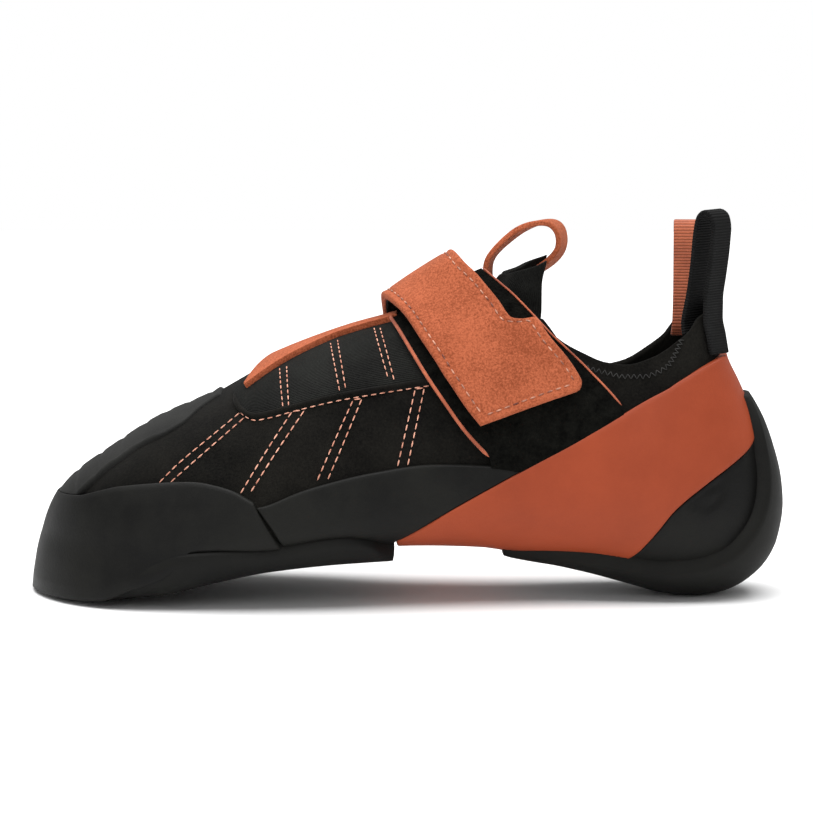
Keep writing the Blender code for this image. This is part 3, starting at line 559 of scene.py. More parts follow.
def finish(name, look):
    # one surface finish from its own values: two tones, grain, patches, ribs with painted shade in their valleys, and
    # gloss
    material = bpy.data.materials.new(name)
    material.use_nodes = True
    tree = material.node_tree
    shader = tree.nodes["Principled BSDF"]
    shader.inputs["Sheen Weight"].default_value = look.get("sheen", 0.0)
    shader.inputs["Sheen Roughness"].default_value = 0.45
    shader.inputs["Sheen Tint"].default_value = (*look.get("sheenTint", (1, 1, 1)), 1)
    shader.inputs["Specular IOR Level"].default_value = look.get("specular", 0.4)
    spot = addNode(tree, "ShaderNodeTexCoord")
    grain = addNode(tree, "ShaderNodeGroup", node_tree=fineGrain)
    grain.inputs["Grain"].default_value = look["grain"]
    grain.inputs["Patch"].default_value = look["patch"]
    grain.inputs["Contrast"].default_value = look.get("contrast", 0.6)
    tree.links.new(spot.outputs["Object"], grain.inputs["Vector"])
    tones = addNode(tree, "ShaderNodeValToRGB")
    tones.color_ramp.elements[0].position = look.get("from", 0.25)
    tones.color_ramp.elements[1].position = look.get("to", 0.8)
    tones.color_ramp.elements[0].color = (*look["dark"], 1)
    tones.color_ramp.elements[1].color = (*look["light"], 1)
    tree.links.new(grain.outputs["Tone"], tones.inputs["Fac"])
    colour = tones.outputs["Color"]
    height = grain.outputs["Height"]
    ribs = look.get("ribs")
    if ribs:
        surface = addNode(tree, "ShaderNodeUVMap", uv_map="surface")
        parts = addNode(tree, "ShaderNodeSeparateXYZ")
        tree.links.new(surface.outputs["UV"], parts.inputs["Vector"])
        ridge = addNode(tree, "ShaderNodeGroup", node_tree=evenRibs)
        ridge.inputs["Pitch"].default_value = ribs["pitch"]
        tree.links.new(parts.outputs[ribs["axis"]], ridge.inputs["Coordinate"])
        tree.links.new(mathNode(tree, "MULTIPLY", grain.outputs["Patches"], ribs["waver"]),
                       ridge.inputs["Waver"])
        # the colour is darkened in the rib valleys: painted shade in the recesses
        shade = addNode(tree, "ShaderNodeMix", data_type="RGBA", blend_type="MULTIPLY")
        shade.inputs[0].default_value = 1.0
        valleyShadeRamp = addNode(tree, "ShaderNodeValToRGB")
        valleyShadeRamp.color_ramp.elements[0].color = (ribs["valleyShade"], ribs["valleyShade"], ribs["valleyShade"], 1)
        valleyShadeRamp.color_ramp.elements[1].color = (1, 1, 1, 1)
        valleyShadeRamp.color_ramp.elements[1].position = 0.6
        tree.links.new(ridge.outputs["Height"], valleyShadeRamp.inputs["Fac"])
        tree.links.new(colour, shade.inputs[6])
        tree.links.new(valleyShadeRamp.outputs["Color"], shade.inputs[7])
        colour = shade.outputs[2]
        height = mathNode(tree, "ADD", mathNode(tree, "MULTIPLY", ridge.outputs["Height"], ribs["share"]),
                          mathNode(tree, "MULTIPLY", height, 1 - ribs["share"]))
    tree.links.new(colour, shader.inputs["Base Color"])
    rough = addNode(tree, "ShaderNodeMapRange", {"To Min": look["rough"][0], "To Max": look["rough"][1]})
    tree.links.new(grain.outputs["Tone"], rough.inputs["Value"])
    tree.links.new(rough.outputs["Result"], shader.inputs["Roughness"])
    bump = addNode(tree, "ShaderNodeBump",
                   {"Strength": look.get("strength", 0.8), "Distance": look["depth"]})
    tree.links.new(height, bump.inputs["Height"])
    tree.links.new(bump.outputs["Normal"], shader.inputs["Normal"])
    return material


looks = {
    "blackSuede": {"dark": (0.0004, 0.0004, 0.0004), "light": (0.0121, 0.0112, 0.0093), "grain": 1300.0,
                   "patch": 40.0,
                   "contrast": 0.25, "rough": (0.78, 0.95), "depth": 0.00022, "sheen": 0.02,
                   "specular": 0.06},
    "insoleBoard": {"dark": (0.05, 0.05, 0.053), "light": (0.10, 0.10, 0.105), "grain": 1100.0,
                    "patch": 30.0,
                    "rough": (0.75, 0.9), "depth": 0.0001},
    "stretchKnit": {"dark": (0.0018, 0.0018, 0.0015), "light": (0.0179, 0.0186, 0.0166), "grain": 1500.0,
                    "patch": 50.0,
                    "contrast": 0.3, "rough": (0.8, 0.95), "depth": 0.0003, "sheen": 0.02, "specular": 0.08,
                    "ribs": {"axis": "Y", "pitch": 0.0007, "valleyShade": 0.62, "share": 0.7, "waver": 0.3}},
    "soleRubber": {"dark": (0.0024, 0.0024, 0.0021), "light": (0.0066, 0.0066, 0.0055), "grain": 1600.0,
                   "patch": 26.0,
                   "contrast": 0.7, "rough": (0.50, 0.70), "depth": 0.00008, "specular": 0.14},
    "randRubber": {"dark": (0.0024, 0.0024, 0.0021), "light": (0.0070, 0.0070, 0.0058), "grain": 1300.0,
                   "patch": 34.0,
                   "contrast": 0.65, "rough": (0.48, 0.66), "depth": 0.00010, "specular": 0.15},
    "orangeRubber": {"dark": (0.2531, 0.0430, 0.0157), "light": (0.2940, 0.0514, 0.0188), "grain": 1700.0,
                     "patch": 30.0,
                     "contrast": 0.6, "rough": (0.45, 0.62), "depth": 0.00010, "specular": 0.16},
    "patchRubber": {"dark": (0.0041, 0.0041, 0.0038), "light": (0.0156, 0.0156, 0.0143), "grain": 1500.0,
                    "patch": 45.0,
                    "contrast": 0.4, "rough": (0.6, 0.82), "depth": 0.00016, "specular": 0.18},
    "orangeSuede": {"dark": (0.2240, 0.0517, 0.0202), "light": (0.4352, 0.1148, 0.0520), "grain": 1500.0,
                    "patch": 45.0,
                    "contrast": 0.12, "from": 0.38, "to": 0.60, "rough": (0.8, 0.95), "depth": 0.00030,
                    "sheen": 0.08,
                    "sheenTint": (1.0, 0.7, 0.55), "specular": 0.08},
    "loopPile": {"dark": (0.0005, 0.0005, 0.0004), "light": (0.0072, 0.0072, 0.0059), "grain": 1000.0,
                 "patch": 200.0,
                 "contrast": 0.3, "rough": (0.9, 0.98), "depth": 0.0008, "strength": 1.0, "specular": 0.05},
    "piping": {"dark": (0.2520, 0.0525, 0.0210), "light": (0.4640, 0.1200, 0.0520), "grain": 1500.0,
               "patch": 90.0,
               "rough": (0.6, 0.8), "depth": 0.0001, "sheen": 0.1},
    "blackWebbing": {"dark": (0.003, 0.003, 0.003), "light": (0.014, 0.014, 0.014), "grain": 1800.0,
                     "patch": 60.0,
                     "contrast": 0.35, "rough": (0.7, 0.9), "depth": 0.0003, "specular": 0.1,
                     "ribs": {"axis": "X", "pitch": 0.0009, "valleyShade": 0.5, "share": 0.8, "waver": 0.06}},
    "orangeWebbing": {"dark": (0.2356, 0.0465, 0.0174), "light": (0.4836, 0.1248, 0.0520),
                      "grain": 1800.0, "patch": 60.0,
                      "contrast": 0.35, "rough": (0.65, 0.85), "depth": 0.0003, "sheen": 0.15,
                      "ribs": {"axis": "X", "pitch": 0.0010, "valleyShade": 0.60, "share": 0.8, "waver": 0.06}},
    "peachThread": {"dark": (0.50, 0.20, 0.13), "light": (0.80, 0.42, 0.30), "grain": 3000.0,
                    "patch": 300.0,
                    "rough": (0.6, 0.8), "depth": 0.00005},
    "greyThread": {"dark": (0.0070, 0.0070, 0.0065), "light": (0.0230, 0.0230, 0.0210), "grain": 3000.0,
                   "patch": 300.0,
                   "rough": (0.6, 0.8), "depth": 0.00005},
    "orangeThread": {"dark": (0.1200, 0.0270, 0.0150), "light": (0.660, 0.330, 0.220), "grain": 3000.0,
                     "patch": 300.0,
                     "rough": (0.6, 0.8), "depth": 0.00005},
}
finishes = {name: finish(name, look) for name, look in looks.items()}
print("finishes ready")

# the edges of the pieces: way round from the toe tip as a share of the length, height share
edges = {
    "collar": [(0.664, 1.030), (0.690, 0.985), (0.722, 0.952), (0.757, 0.928), (0.774, 0.872),
               (0.808, 0.820),
               (0.840, 0.786), (0.867, 0.777), (0.902, 0.803), (0.920, 0.828), (0.978, 0.885),
               (1.010, 0.928),
               (1.109, 0.968)],
    "collarInner": [(0.664, 1.030), (0.690, 0.975), (0.722, 0.930), (0.757, 0.870), (0.774, 0.820),
                    (0.808, 0.766),
                    (0.840, 0.742), (0.867, 0.757), (0.902, 0.810), (0.920, 0.843), (0.942, 0.880),
                    (0.966, 0.915),
                    (1.010, 0.948), (1.109, 0.968)],
    "toeRandTop": [(0.000, 0.318), (0.144, 0.345), (0.207, 0.392), (0.279, 0.416), (0.303, 0.419),
                   (0.332, 0.410),
                   (0.354, 0.396), (0.378, 0.365), (0.414, 0.330)],
    "soleTop": [(0.000, 0.070), (0.144, 0.080), (0.207, 0.118), (0.288, 0.196), (0.416, 0.236),
                (0.470, 0.256),
                (0.500, 0.261), (0.530, 0.250), (0.548, 0.232), (0.570, 0.221)],
    "sideRandTop": [(0.378, 0.345), (0.395, 0.355), (0.432, 0.393), (0.457, 0.414), (0.534, 0.459),
                    (0.612, 0.481),
                    (0.686, 0.473), (0.728, 0.456)],
    "heelRandTop": [(0.550, 0.226), (0.629, 0.328), (0.725, 0.452), (0.803, 0.551), (0.864, 0.632),
                    (0.904, 0.687),
                    (0.943, 0.734), (1.006, 0.785), (1.063, 0.804), (1.109, 0.808)],
    "heelRandLow": [(0.704, 0.192), (0.728, 0.185), (0.760, 0.176), (0.806, 0.155), (0.846, 0.138),
                    (0.877, 0.174),
                    (0.894, 0.216), (0.907, 0.254), (0.927, 0.314), (0.971, 0.395), (1.007, 0.450),
                    (1.052, 0.513),
                    (1.082, 0.565), (1.109, 0.580)],
    "toePatch": [(0.144, 0.352), (0.174, 0.418), (0.202, 0.468), (0.227, 0.512), (0.257, 0.549),
                 (0.279, 0.580),
                 (0.306, 0.632), (0.330, 0.668)],
}


def edgeHeight(name):
    line = smoothLine(edges[name])
    return lambda way: line(np.abs(way) / shoe["length"]) * shoe["instepHeight"]


collarOuter, collarInner = edgeHeight("collar"), edgeHeight("collarInner")


def collarHeight(way):
    return np.where(np.asarray(way) < 0, collarInner(way), collarOuter(way))


toeRandTop, soleTop, sideRandTop, heelRandTop, heelRandLow, toePatchEdge = (
    edgeHeight(name) for name in ("toeRandTop", "soleTop", "sideRandTop", "heelRandTop", "heelRandLow",
                                  "toePatch"))


def wayOfStation(station):
    return quarter + (station - shoe["toeAxis"]) * shoe["length"]


def atHeight(line, gap=0.0):
    return lambda way: angleAtHeight(way, line(way) + gap)


def overShoe(station, tilt, lift=0.0):
    # across the foot: tilt 0 is the ridge, positive on the outer side
    way = wayOfStation(np.asarray(station, float))
    way = np.where(tilt >= 0, way, -way)
    return onShoe(way, math.pi / 2 - np.abs(tilt), lift)


def tiltAtHeight(station, height, lift):
    return closeIn(np.zeros(np.shape(station)), np.full(np.shape(station), math.radians(150)),
                   lambda tilt: overShoe(station, tilt, lift)[..., 2] > height)


def fineTable(table, count):
    # more rows of a table, smooth between the given ones
    long = np.concatenate([[0], np.cumsum([math.dist(a[:2], b[:2]) + 1e-4 for a,
                                           b in zip(table, table[1:])])])
    return columnsOf([(where, *row) for where, row in zip(long, table)], np.linspace(0, long[-1], count))


def creaseField(place, creases):
    # folds and hollows: each is a path on the shoe with a depth and a width, in metres
    total = np.zeros(len(place))
    for crease in creases:
        path = onPhotoPath(crease["path"], 0.0, 0.0012)[0]
        near = np.full(len(place), 1.0)
        for spot in path:
            near = np.minimum(near, np.linalg.norm(place - spot, axis=1))
        total += crease["depth"] * np.exp(-(near / crease["width"]) ** 2)
    return total


upper = {
    "step": 0.0022, "rows": 54, "rollRows": 5, "innerRows": 24, "underReach": 0.74,
    # paths in the photograph's pixels
    "creases": [
        {"path": [(593, 384), (590, 398), (588, 408)], "depth": -0.0007, "width": 0.0016},
        {"path": [(606, 386), (604, 398), (600, 412)], "depth": -0.0006, "width": 0.0013},
        {"path": [(616, 386), (617, 400), (612, 412)], "depth": -0.0008, "width": 0.0016},
        {"path": [(630, 386), (631, 396), (628, 404)], "depth": -0.0006, "width": 0.0013},
        {"path": [(643, 384), (646, 394)], "depth": -0.0007, "width": 0.0014},
        {"path": [(657, 379), (661, 388)], "depth": -0.0006, "width": 0.0013},
        {"path": [(581, 364), (600, 372), (622, 375), (645, 371), (664, 360), (682, 346)],
         "depth": -0.0007, "width": 0.0012},
        {"path": [(210, 452), (235, 470), (252, 492)], "depth": -0.0008, "width": 0.0035},
        {"path": [(268, 432), (262, 462), (258, 490)], "depth": -0.0006, "width": 0.0030},
        {"path": [(336, 416), (344, 440), (352, 462)], "depth": -0.0007, "width": 0.0034},
        {"path": [(376, 404), (386, 430), (392, 458)], "depth": -0.0006, "width": 0.0030},
        {"path": [(428, 398), (436, 424), (446, 450)], "depth": -0.0006, "width": 0.0030},
    ],
}


def makeUpper():
    columns = int(2 * roundRun / upper["step"]) | 1
    ways = np.linspace(-roundRun, roundRun, columns)
    low = angleAtReach(ways, upper["underReach"])
    atOpening = np.abs(ways) > edges["collar"][0][0] * shoe["length"]
    top = np.where(atOpening, angleAtHeight(ways, collarHeight(ways)), math.pi / 2)
    outerRows, roll, innerRows = upper["rows"], upper["rollRows"], upper["innerRows"]
    rows = outerRows + roll + innerRows + 1
    wall = shoe["wall"]

    i, j = np.meshgrid(np.arange(columns), np.arange(rows), indexing="ij")
    i, j = i.ravel(), np.where(j == rows - 1, 0, j).ravel()
    onOuter = j < outerRows
    onRoll = (j >= outerRows) & (j < outerRows + roll)
    innerShare = 1 - (j - outerRows - roll) / (innerRows - 1)
    share = np.where(onOuter, j / (outerRows - 1), np.where(onRoll, 1.0, innerShare))
    turn = (j - outerRows + 1) / (roll + 1) * math.pi
    angle = mix(low[i], top[i], share)
    base = onShoe(ways[i], angle)
    lift = np.where(onOuter, 0.0, np.where(onRoll, -wall / 2 * (1 - np.cos(turn)), -wall))
    relief = creaseField(base, upper["creases"]) * onOuter
    spots = base + normalAt(ways[i], angle) * (lift + relief)[:, None]
    spots[:, 2] += np.where(onRoll & atOpening[i], wall * 0.55 * np.sin(turn), 0.0)
    surface = np.stack([ways[i], angle * 0.04], axis=1)
    return gridPiece("upper_shell", spots.reshape(columns, rows, 3), surface.reshape(columns, rows, 2),
                     finishes["blackSuede"], ("upper",))


makeUpper()
print("upper ready")

# stretch gore beside the instep strip: its edges are in the photograph's pixels
gore = {
    "seam": [(234, 396), (240, 408), (248, 416), (259, 420), (271, 418), (305, 409), (339, 401), (373, 395),
             (407, 389.5), (429, 386), (446, 384)],
    "top": [(234, 392), (245, 382), (271, 364), (293, 352), (316, 341), (339, 331), (361, 323), (384, 318),
            (410, 310), (446, 300)],
    "ridge": [(236, 393), (240, 404), (248, 412), (259, 415.5), (271, 413.5), (305, 404.5), (339, 396.5),
              (373, 390.5), (407, 385), (429, 381.5), (446, 379.5)],
    "thickness": 0.0006, "foldRadius": 0.00095,
}
goreSeam, goreTop = smoothLine(gore["seam"]), smoothLine(gore["top"])
panel("gore_panel", (wayOfPixel(234.5), wayOfPixel(446)), lambda way: angleOnLine(way, goreSeam),
      lambda way: np.maximum(angleOnLine(way, goreTop), angleOnLine(way, goreSeam) + 0.01),
      gore["thickness"],
      finishes["stretchKnit"], spacing=0.0016)
tubePiece("gore_seam_fold", onPhotoPath(gore["ridge"], 0.0007, 0.0016)[0], gore["foldRadius"],
          finishes["blackSuede"])
print("gore ready")

# rubber, laid a little off the upper
rubber = {"lift": 0.0006, "rand": 0.0015}

# the toe's straight leaning face, from its reference height down to the ground
toeFace = {"from": 0.0200, "lean": 0.165, "rubber": 0.0024, "corner": 6.0, "fullTo": 0.15, "goneBy": 0.42}
faceHeight = np.full(netWays.shape, toeFace["from"])
faceAngle = angleAtHeight(netWays, faceHeight)
faceReach = np.linalg.norm((onShoe(netWays, faceAngle) - rayFrom(netWays, faceAngle)[0])[:, :2], axis=1)


def toeShare(way):
    return ease((toeFace["goneBy"] - np.abs(way) / shoe["length"]) / (toeFace["goneBy"] - toeFace["fullTo"]))


def sideRoom(way, place, plain):
    # how far out the rubber's side lies from this place
    reach = np.interp(way, netWays, faceReach) + toeFace["rubber"] + toeFace["lean"] * (toeFace["from"] - place[:, 2])
    here = np.linalg.norm((place - rayFrom(way, np.zeros(way.shape))[0])[:, :2], axis=1)
    low = np.clip((toeFace["from"] - place[:, 2]) / 0.006, 0, 1)
    return mix(plain, np.maximum(reach - here, 0.0005), toeShare(way) * low)


# thickness of the front sole by way round from the toe tip
soleDepth = smoothLine([(0.0, 0.0045), (0.18, 0.0045), (0.27, 0.0068), (0.50, 0.0066)])


def soleThickness(way, angle, normal):
    place = onShoe(way, angle)
    flush = np.clip((np.abs(way) - 0.9 * quarter) / (0.6 * quarter), 0, 1)
    side = sideRoom(way, place, rubber["rand"] + (0.0026 - rubber["rand"]) * flush)
    level = np.sqrt(np.clip(1 - normal[:, 2] ** 2, 0, 1))
    power = toeFace["corner"]
    depth = soleDepth(np.abs(way) / shoe["length"])
    thick = ((level / side) ** power + (np.abs(normal[:, 2]) / depth) ** power) ** (-1 / power)
    # the sole stops at the ground
    room = (place[:, 2] + normal[:, 2] * rubber["lift"]) / np.clip(-normal[:, 2], 0.02, 1)
    return np.minimum(thick, np.maximum(room, 0.0010))


def toeRandThickness(way, angle, normal):
    level = np.sqrt(np.clip(1 - normal[:, 2] ** 2, 0.2, 1))
    return sideRoom(way, onShoe(way, angle), rubber["rand"] + 0.0001) / np.where(toeShare(way) > 0, level,
                                                                                 1)


soleReach = wayOfStation(0.484)
panel("front_sole", (-soleReach, soleReach), constant(-math.pi / 2), atHeight(soleTop), soleThickness,
      finishes["soleRubber"], lift=rubber["lift"], spacing=0.0020, openLow=True, grounded=True,
      replaces=("outsole_front",), radius=0.0011)

toeEnd = wayOfStation(0.338)

# way round and height share of the rand's lower edge at the toe
toeSeam = smoothLine([(0.0, 0.030), (0.10, 0.032), (0.179, 0.036), (0.217, 0.072), (0.254, 0.100),
                      (0.281, 0.150),
                      (0.296, 0.198), (0.360, 0.240)])


def drawDown(way, spots, fromEdge):
    # the rand reaches down over the sole's side at the toe, and leans out as it goes
    edge = soleTop(way)
    goal = toeSeam(np.abs(way) / shoe["length"]) * shoe["instepHeight"]
    down = np.clip((edge + 0.0090 - spots[:, 2]) / 0.0090, 0, 1.2) * np.maximum(edge - goal, 0)
    out = unit(rayFrom(way, np.zeros(way.shape))[1])
    spots[:, 2] -= down
    # its edge settles just over the ground
    spots[:, 2] = np.where(spots[:, 2] < 0.003, 0.0008 + 0.0022 * np.exp((spots[:, 2] - 0.003) / 0.0022),
                           spots[:, 2])
    return spots + out * (down * toeFace["lean"])[:, None]


slantRun = toeEnd - wayOfStation(0.302)


def slantBack(way, share):
    near = np.clip((np.abs(way) - toeEnd + 4 * slantRun) / (4 * slantRun), 0, 1)
    return -np.sign(way) * slantRun * share * near


panel("toe_rand_rubber", (-toeEnd, toeEnd), atHeight(soleTop, -0.0004), atHeight(toeRandTop),
      toeRandThickness,
      finishes["randRubber"], lift=rubber["lift"], spacing=0.0018, shift=slantBack, settle=drawDown,
      replaces=("toe_rand",))

sideStart = wayOfStation(0.302) + 0.0004
sideEnd = wayOfStation(0.648)


def sideFloor(way):
    base = np.where(np.abs(way) > soleReach - 0.002, heelRandTop(way), soleTop(way))
    return base - 0.0006


def slantFront(way, share):
    near = np.clip((sideStart + 3 * slantRun - np.abs(way)) / (3 * slantRun), 0, 1)
    return np.sign(way) * slantRun * (1 - share) * near


for side, name in ((1.0, "side_rand_outer"), (-1.0, "side_rand_inner")):
    panel(name + "_rubber", (side * sideStart, side * sideEnd),
          lambda way: angleAtHeight(way, sideFloor(way)),
          lambda way: angleAtHeight(way, np.maximum(sideRandTop(way), sideFloor(way) + 0.0025)),
          rubber["rand"] - 0.0002,
          finishes["randRubber"], lift=rubber["lift"], spacing=0.0020, shift=slantFront, replaces=(name,))
print("toe and side rubber ready")


def swingOf(way):
    return ease((np.abs(way) - wayOfStation(0.600)) / (0.055 * shoe["length"]))


def slingLow(way):
    return mix(-math.pi / 2 + 0.004, angleAtHeight(way, heelRandLow(way)), swingOf(way))


def cupTop(way):
    return mix(-math.pi / 2, angleAtHeight(way, heelRandLow(way)), swingOf(way)) + 0.012


slingStart = wayOfStation(0.486)
panel("heel_rand_rubber", (slingStart, 2 * roundRun - slingStart), slingLow, atHeight(heelRandTop),
      rubber["rand"], finishes["orangeRubber"], lift=rubber["lift"] + 0.0003, spacing=0.0019, radius=0.0007,
      replaces=("heel_rand",))

# the grained recess low on the heel, drawn in the photograph's pixels
heelCup = {"centre": (697, 486), "across": 22.0, "down": 25.0, "depth": 0.0007,
           "wrinkles": [[(682, 505), (690, 494), (700, 488)], [(690, 508), (699, 497), (709, 491)],
                        [(700, 507), (707, 499), (714, 492)], [(694, 486), (704, 480), (714, 478)]]}


def cupRelief(way, angle, place, fromEdge):
    across, down = toPhoto(place)
    middle = heelCup["centre"]
    share = np.hypot((across - middle[0]) / heelCup["across"], (down - middle[1]) / heelCup["down"])
    onSide = place[:, 1] < 0
    hollow = -heelCup["depth"] * np.clip((1 - share) / 0.16, 0, 1) * onSide
    folds = creaseField(place, [{"path": path, "depth": 0.0004,
                                 "width": 0.0011} for path in heelCup["wrinkles"]])
    return hollow + folds * (hollow < 0)


cupStart = wayOfStation(0.601)
panel("heel_cup_rubber", (cupStart, 2 * roundRun - cupStart), constant(-math.pi / 2), cupTop,
      rubber["rand"] - 0.0003,
      finishes["randRubber"], lift=rubber["lift"] - 0.0001, spacing=0.0016, relief=cupRelief, openLow=True,
      replaces=("heel_cup",))
print("heel rubber ready")

# strip of sole under the heel and up its back
heelStrip = {
    "start": 0.628, "turn": 138.0, "thickness": 0.0030, "under": 0.0031, "across": 31,
    # share of the way along, half width share, thickness share
    "outline": [(0.00, 0.230, 0.35), (0.12, 0.250, 0.85), (0.25, 0.262, 1.00), (0.45, 0.262, 1.00),
                (0.62, 0.235, 1.00), (0.78, 0.180, 0.95), (0.92, 0.135, 0.75), (1.00, 0.090, 0.30)],
}


def makeHeelStrip():
    reach = (shoe["heelAxis"] - heelStrip["start"]) * shoe["length"]
    run = reach + shoe["fan"] * math.radians(heelStrip["turn"])
    travel = edgeStops(run, 0.0018)
    half = smoothLine(heelStrip["outline"], 1)(travel / run) * shoe["ballWidth"]
    thick = smoothLine(heelStrip["outline"], 2)(travel / run) * heelStrip["thickness"]
    across = np.linspace(-1, 1, heelStrip["across"])
    across = np.sign(across) * np.abs(across) ** 0.7
    station = np.minimum(heelStrip["start"] + travel / shoe["length"], shoe["heelAxis"])
    turn = -math.pi / 2 + np.clip(travel - reach, 0, None) / shoe["fan"]
    origin = np.zeros((len(travel), len(across), 3))
    origin[..., 0] = ((station - 0.5) * shoe["length"])[:, None]
    origin[..., 1] = half[:, None] * across
    origin[..., 2] = 0.40 * shoe["instepHeight"]
    direction = np.zeros_like(origin)
    direction[..., 0] = np.cos(turn)[:, None]
    direction[..., 2] = np.sin(turn)[:, None]
    base, normal = skinAt(origin, direction)
    distance = np.minimum(half[:, None] * (1 - np.abs(across)), np.minimum(travel, run - travel)[:, None])
    height = 0.0008 + (heelStrip["under"] - 0.0008 + thick[:, None]) * hemShape(distance, 0.0012)
    spots = base + normal * height[..., None]
    spots[..., 2] = np.maximum(spots[..., 2], 0.0)

    surface = np.stack([np.repeat(travel[:, None], len(across), axis=1), half[:, None] * across], axis=-1)
    return gridPiece("heel_sole_rubber", spots, surface, finishes["soleRubber"], ("heel_sole",))


makeHeelStrip()

# ribbed toe patch
toePatch = {"pitch": 0.0083, "groove": 0.00040, "width": 0.0010}


def patchLow(way):
    outerSide = way > edges["toePatch"][0][0] * shoe["length"]
    rim = toeRandTop(way) - 0.0004
    height = np.where(outerSide, np.maximum(toePatchEdge(way), rim), rim)
    return np.minimum(angleAtHeight(way, height), math.radians(88.5))


def patchRelief(way, angle, place, fromEdge):
    along = np.mod(place[:, 0] + 0.19 * (place[:, 2] - 0.03), toePatch["pitch"])
    away = np.minimum(along, toePatch["pitch"] - along)
    return -toePatch["groove"] * np.exp(-(away / toePatch["width"]) ** 2)


def patchThickness(way, angle, normal):
    # the patch thins out up the instep
    station = onShoe(way, angle)[:, 0] / shoe["length"] + 0.5
    return rubber["rand"] * (1 - 0.72 * np.clip((station - 0.06) / 0.17, 0, 1))


patchEnd = edges["toePatch"][-1][0] * shoe["length"]
panel("toe_patch_rubber", (-patchEnd, patchEnd), patchLow, constant(math.pi / 2), patchThickness,
      finishes["patchRubber"],
      lift=rubber["lift"], spacing=0.0013, relief=patchRelief, openHigh=True, replaces=("toe_patch",))
print("toe patch ready")


def sheetSurface(spots):
    return surfaceOf(runAlong(spots[:, spots.shape[1] // 2]), runAlong(spots[len(spots) // 2]))


def sheetPiece(name, spots, thickness, material, rounding, replaces=()):
    # a laid sheet given its thickness and rounded along its edges
    piece = gridPiece(name, spots, sheetSurface(spots), material, replaces)
    shape = bmesh.new()
    shape.from_mesh(piece.data)
    shape.normal_update()
    shape.faces.ensure_lookup_table()
    if shape.faces[len(shape.faces) // 2].normal.z < 0:
        bmesh.ops.reverse_faces(shape, faces=shape.faces[:])
    shape.to_mesh(piece.data)
    shape.free()
    wall = piece.modifiers.new("thickness", "SOLIDIFY")
    wall.thickness = thickness
    wall.offset = 1.0
    soft = piece.modifiers.new("rounding", "BEVEL")
    soft.width = rounding
    soft.segments = 3
    soft.limit_method = "ANGLE"
    soft.angle_limit = math.radians(50)
    return piece


instepStrip = {
    "thickness": 0.0020, "rows": 60, "across": 15,
    # station, height of its outer edge, tilt of its inner edge
    "outline": [(0.290, 0.716, -1.0), (0.319, 0.766, -7.0), (0.348, 0.808, -11.0), (0.379, 0.845, -13.0),
                (0.410, 0.877, -14.0), (0.439, 0.901, -14.0), (0.466, 0.920, -14.0), (0.490, 0.936, -14.0)],
}
station, height, tilt = fineTable(instepStrip["outline"], instepStrip["rows"])
outerTilt = tiltAtHeight(station, height * shoe["instepHeight"], 0.0024)
share = np.linspace(0, 1, instepStrip["across"])
# the strip starts as a point
widening = 0.06 + 0.94 * np.clip((station - 0.290) / 0.036, 0, 1)
innerTilt = mix(outerTilt, np.radians(tilt), widening)
tilts = mix(innerTilt[:, None], outerTilt[:, None], share)
stripSpots = overShoe(np.repeat(station[:, None], len(share), axis=1), tilts, 0.0007)
sheetPiece("instep_suede", stripSpots, instepStrip["thickness"], finishes["orangeSuede"], 0.0003,
           ("instep_strip",))

loopBand = {
    "thickness": 0.0016, "rows": 60, "across": 40, "pipingLift": 0.0017,
    # front edge station and height, rear edge station, height and lift in millimetres
    "outline": [(0.473, 0.935, 0.610, 1.086, 5.8), (0.490, 0.890, 0.619, 1.060, 4.2),
                (0.506, 0.833, 0.641, 1.005, 2.5),
                (0.526, 0.755, 0.664, 0.948, 1.3), (0.546, 0.683, 0.704, 0.845, 0.8),
                (0.576, 0.580, 0.750, 0.735, 0.6),
                (0.610, 0.490, 0.785, 0.644, 0.6)],
    "pipingFront": 0.00062, "pipingRear": 0.00034,
}
frontX, frontZ, rearX, rearZ, rearLift = evenRows(loopBand["outline"], loopBand["rows"])
share = np.linspace(0, 1, loopBand["across"])
stations = mix(frontX[:, None], rearX[:, None], share)
heights = mix(frontZ[:, None], rearZ[:, None], share)
ways = wayOfStation(stations)
randLine = np.maximum(sideRandTop(ways), heelRandTop(ways)) / shoe["instepHeight"] - 0.010
heights = np.maximum(heights, randLine)
heights[-1] = randLine[-1]
bandLifts = 0.0005 * (1 - share) + rearLift[:, None] * 0.001 * share
bandTilts = tiltAtHeight(stations, heights * shoe["instepHeight"], bandLifts)
sheetPiece("loop_band", overShoe(stations, bandTilts, bandLifts), loopBand["thickness"],
           finishes["loopPile"], 0.0005,
           ("loop_patch",))
for name, column, size in (("band_piping_front", 0, loopBand["pipingFront"]),
                           ("band_piping_rear", -1, loopBand["pipingRear"])):
    shown = heights[:, column] * shoe["instepHeight"] > randLine[:, column] * shoe["instepHeight"] + 0.0004
    rim = overShoe(stations[:, column], bandTilts[:, column],
                   bandLifts[:, column] + loopBand["pipingLift"])[shown]
    tubePiece(name, resample(rim, 0.0012), size, finishes["piping"])

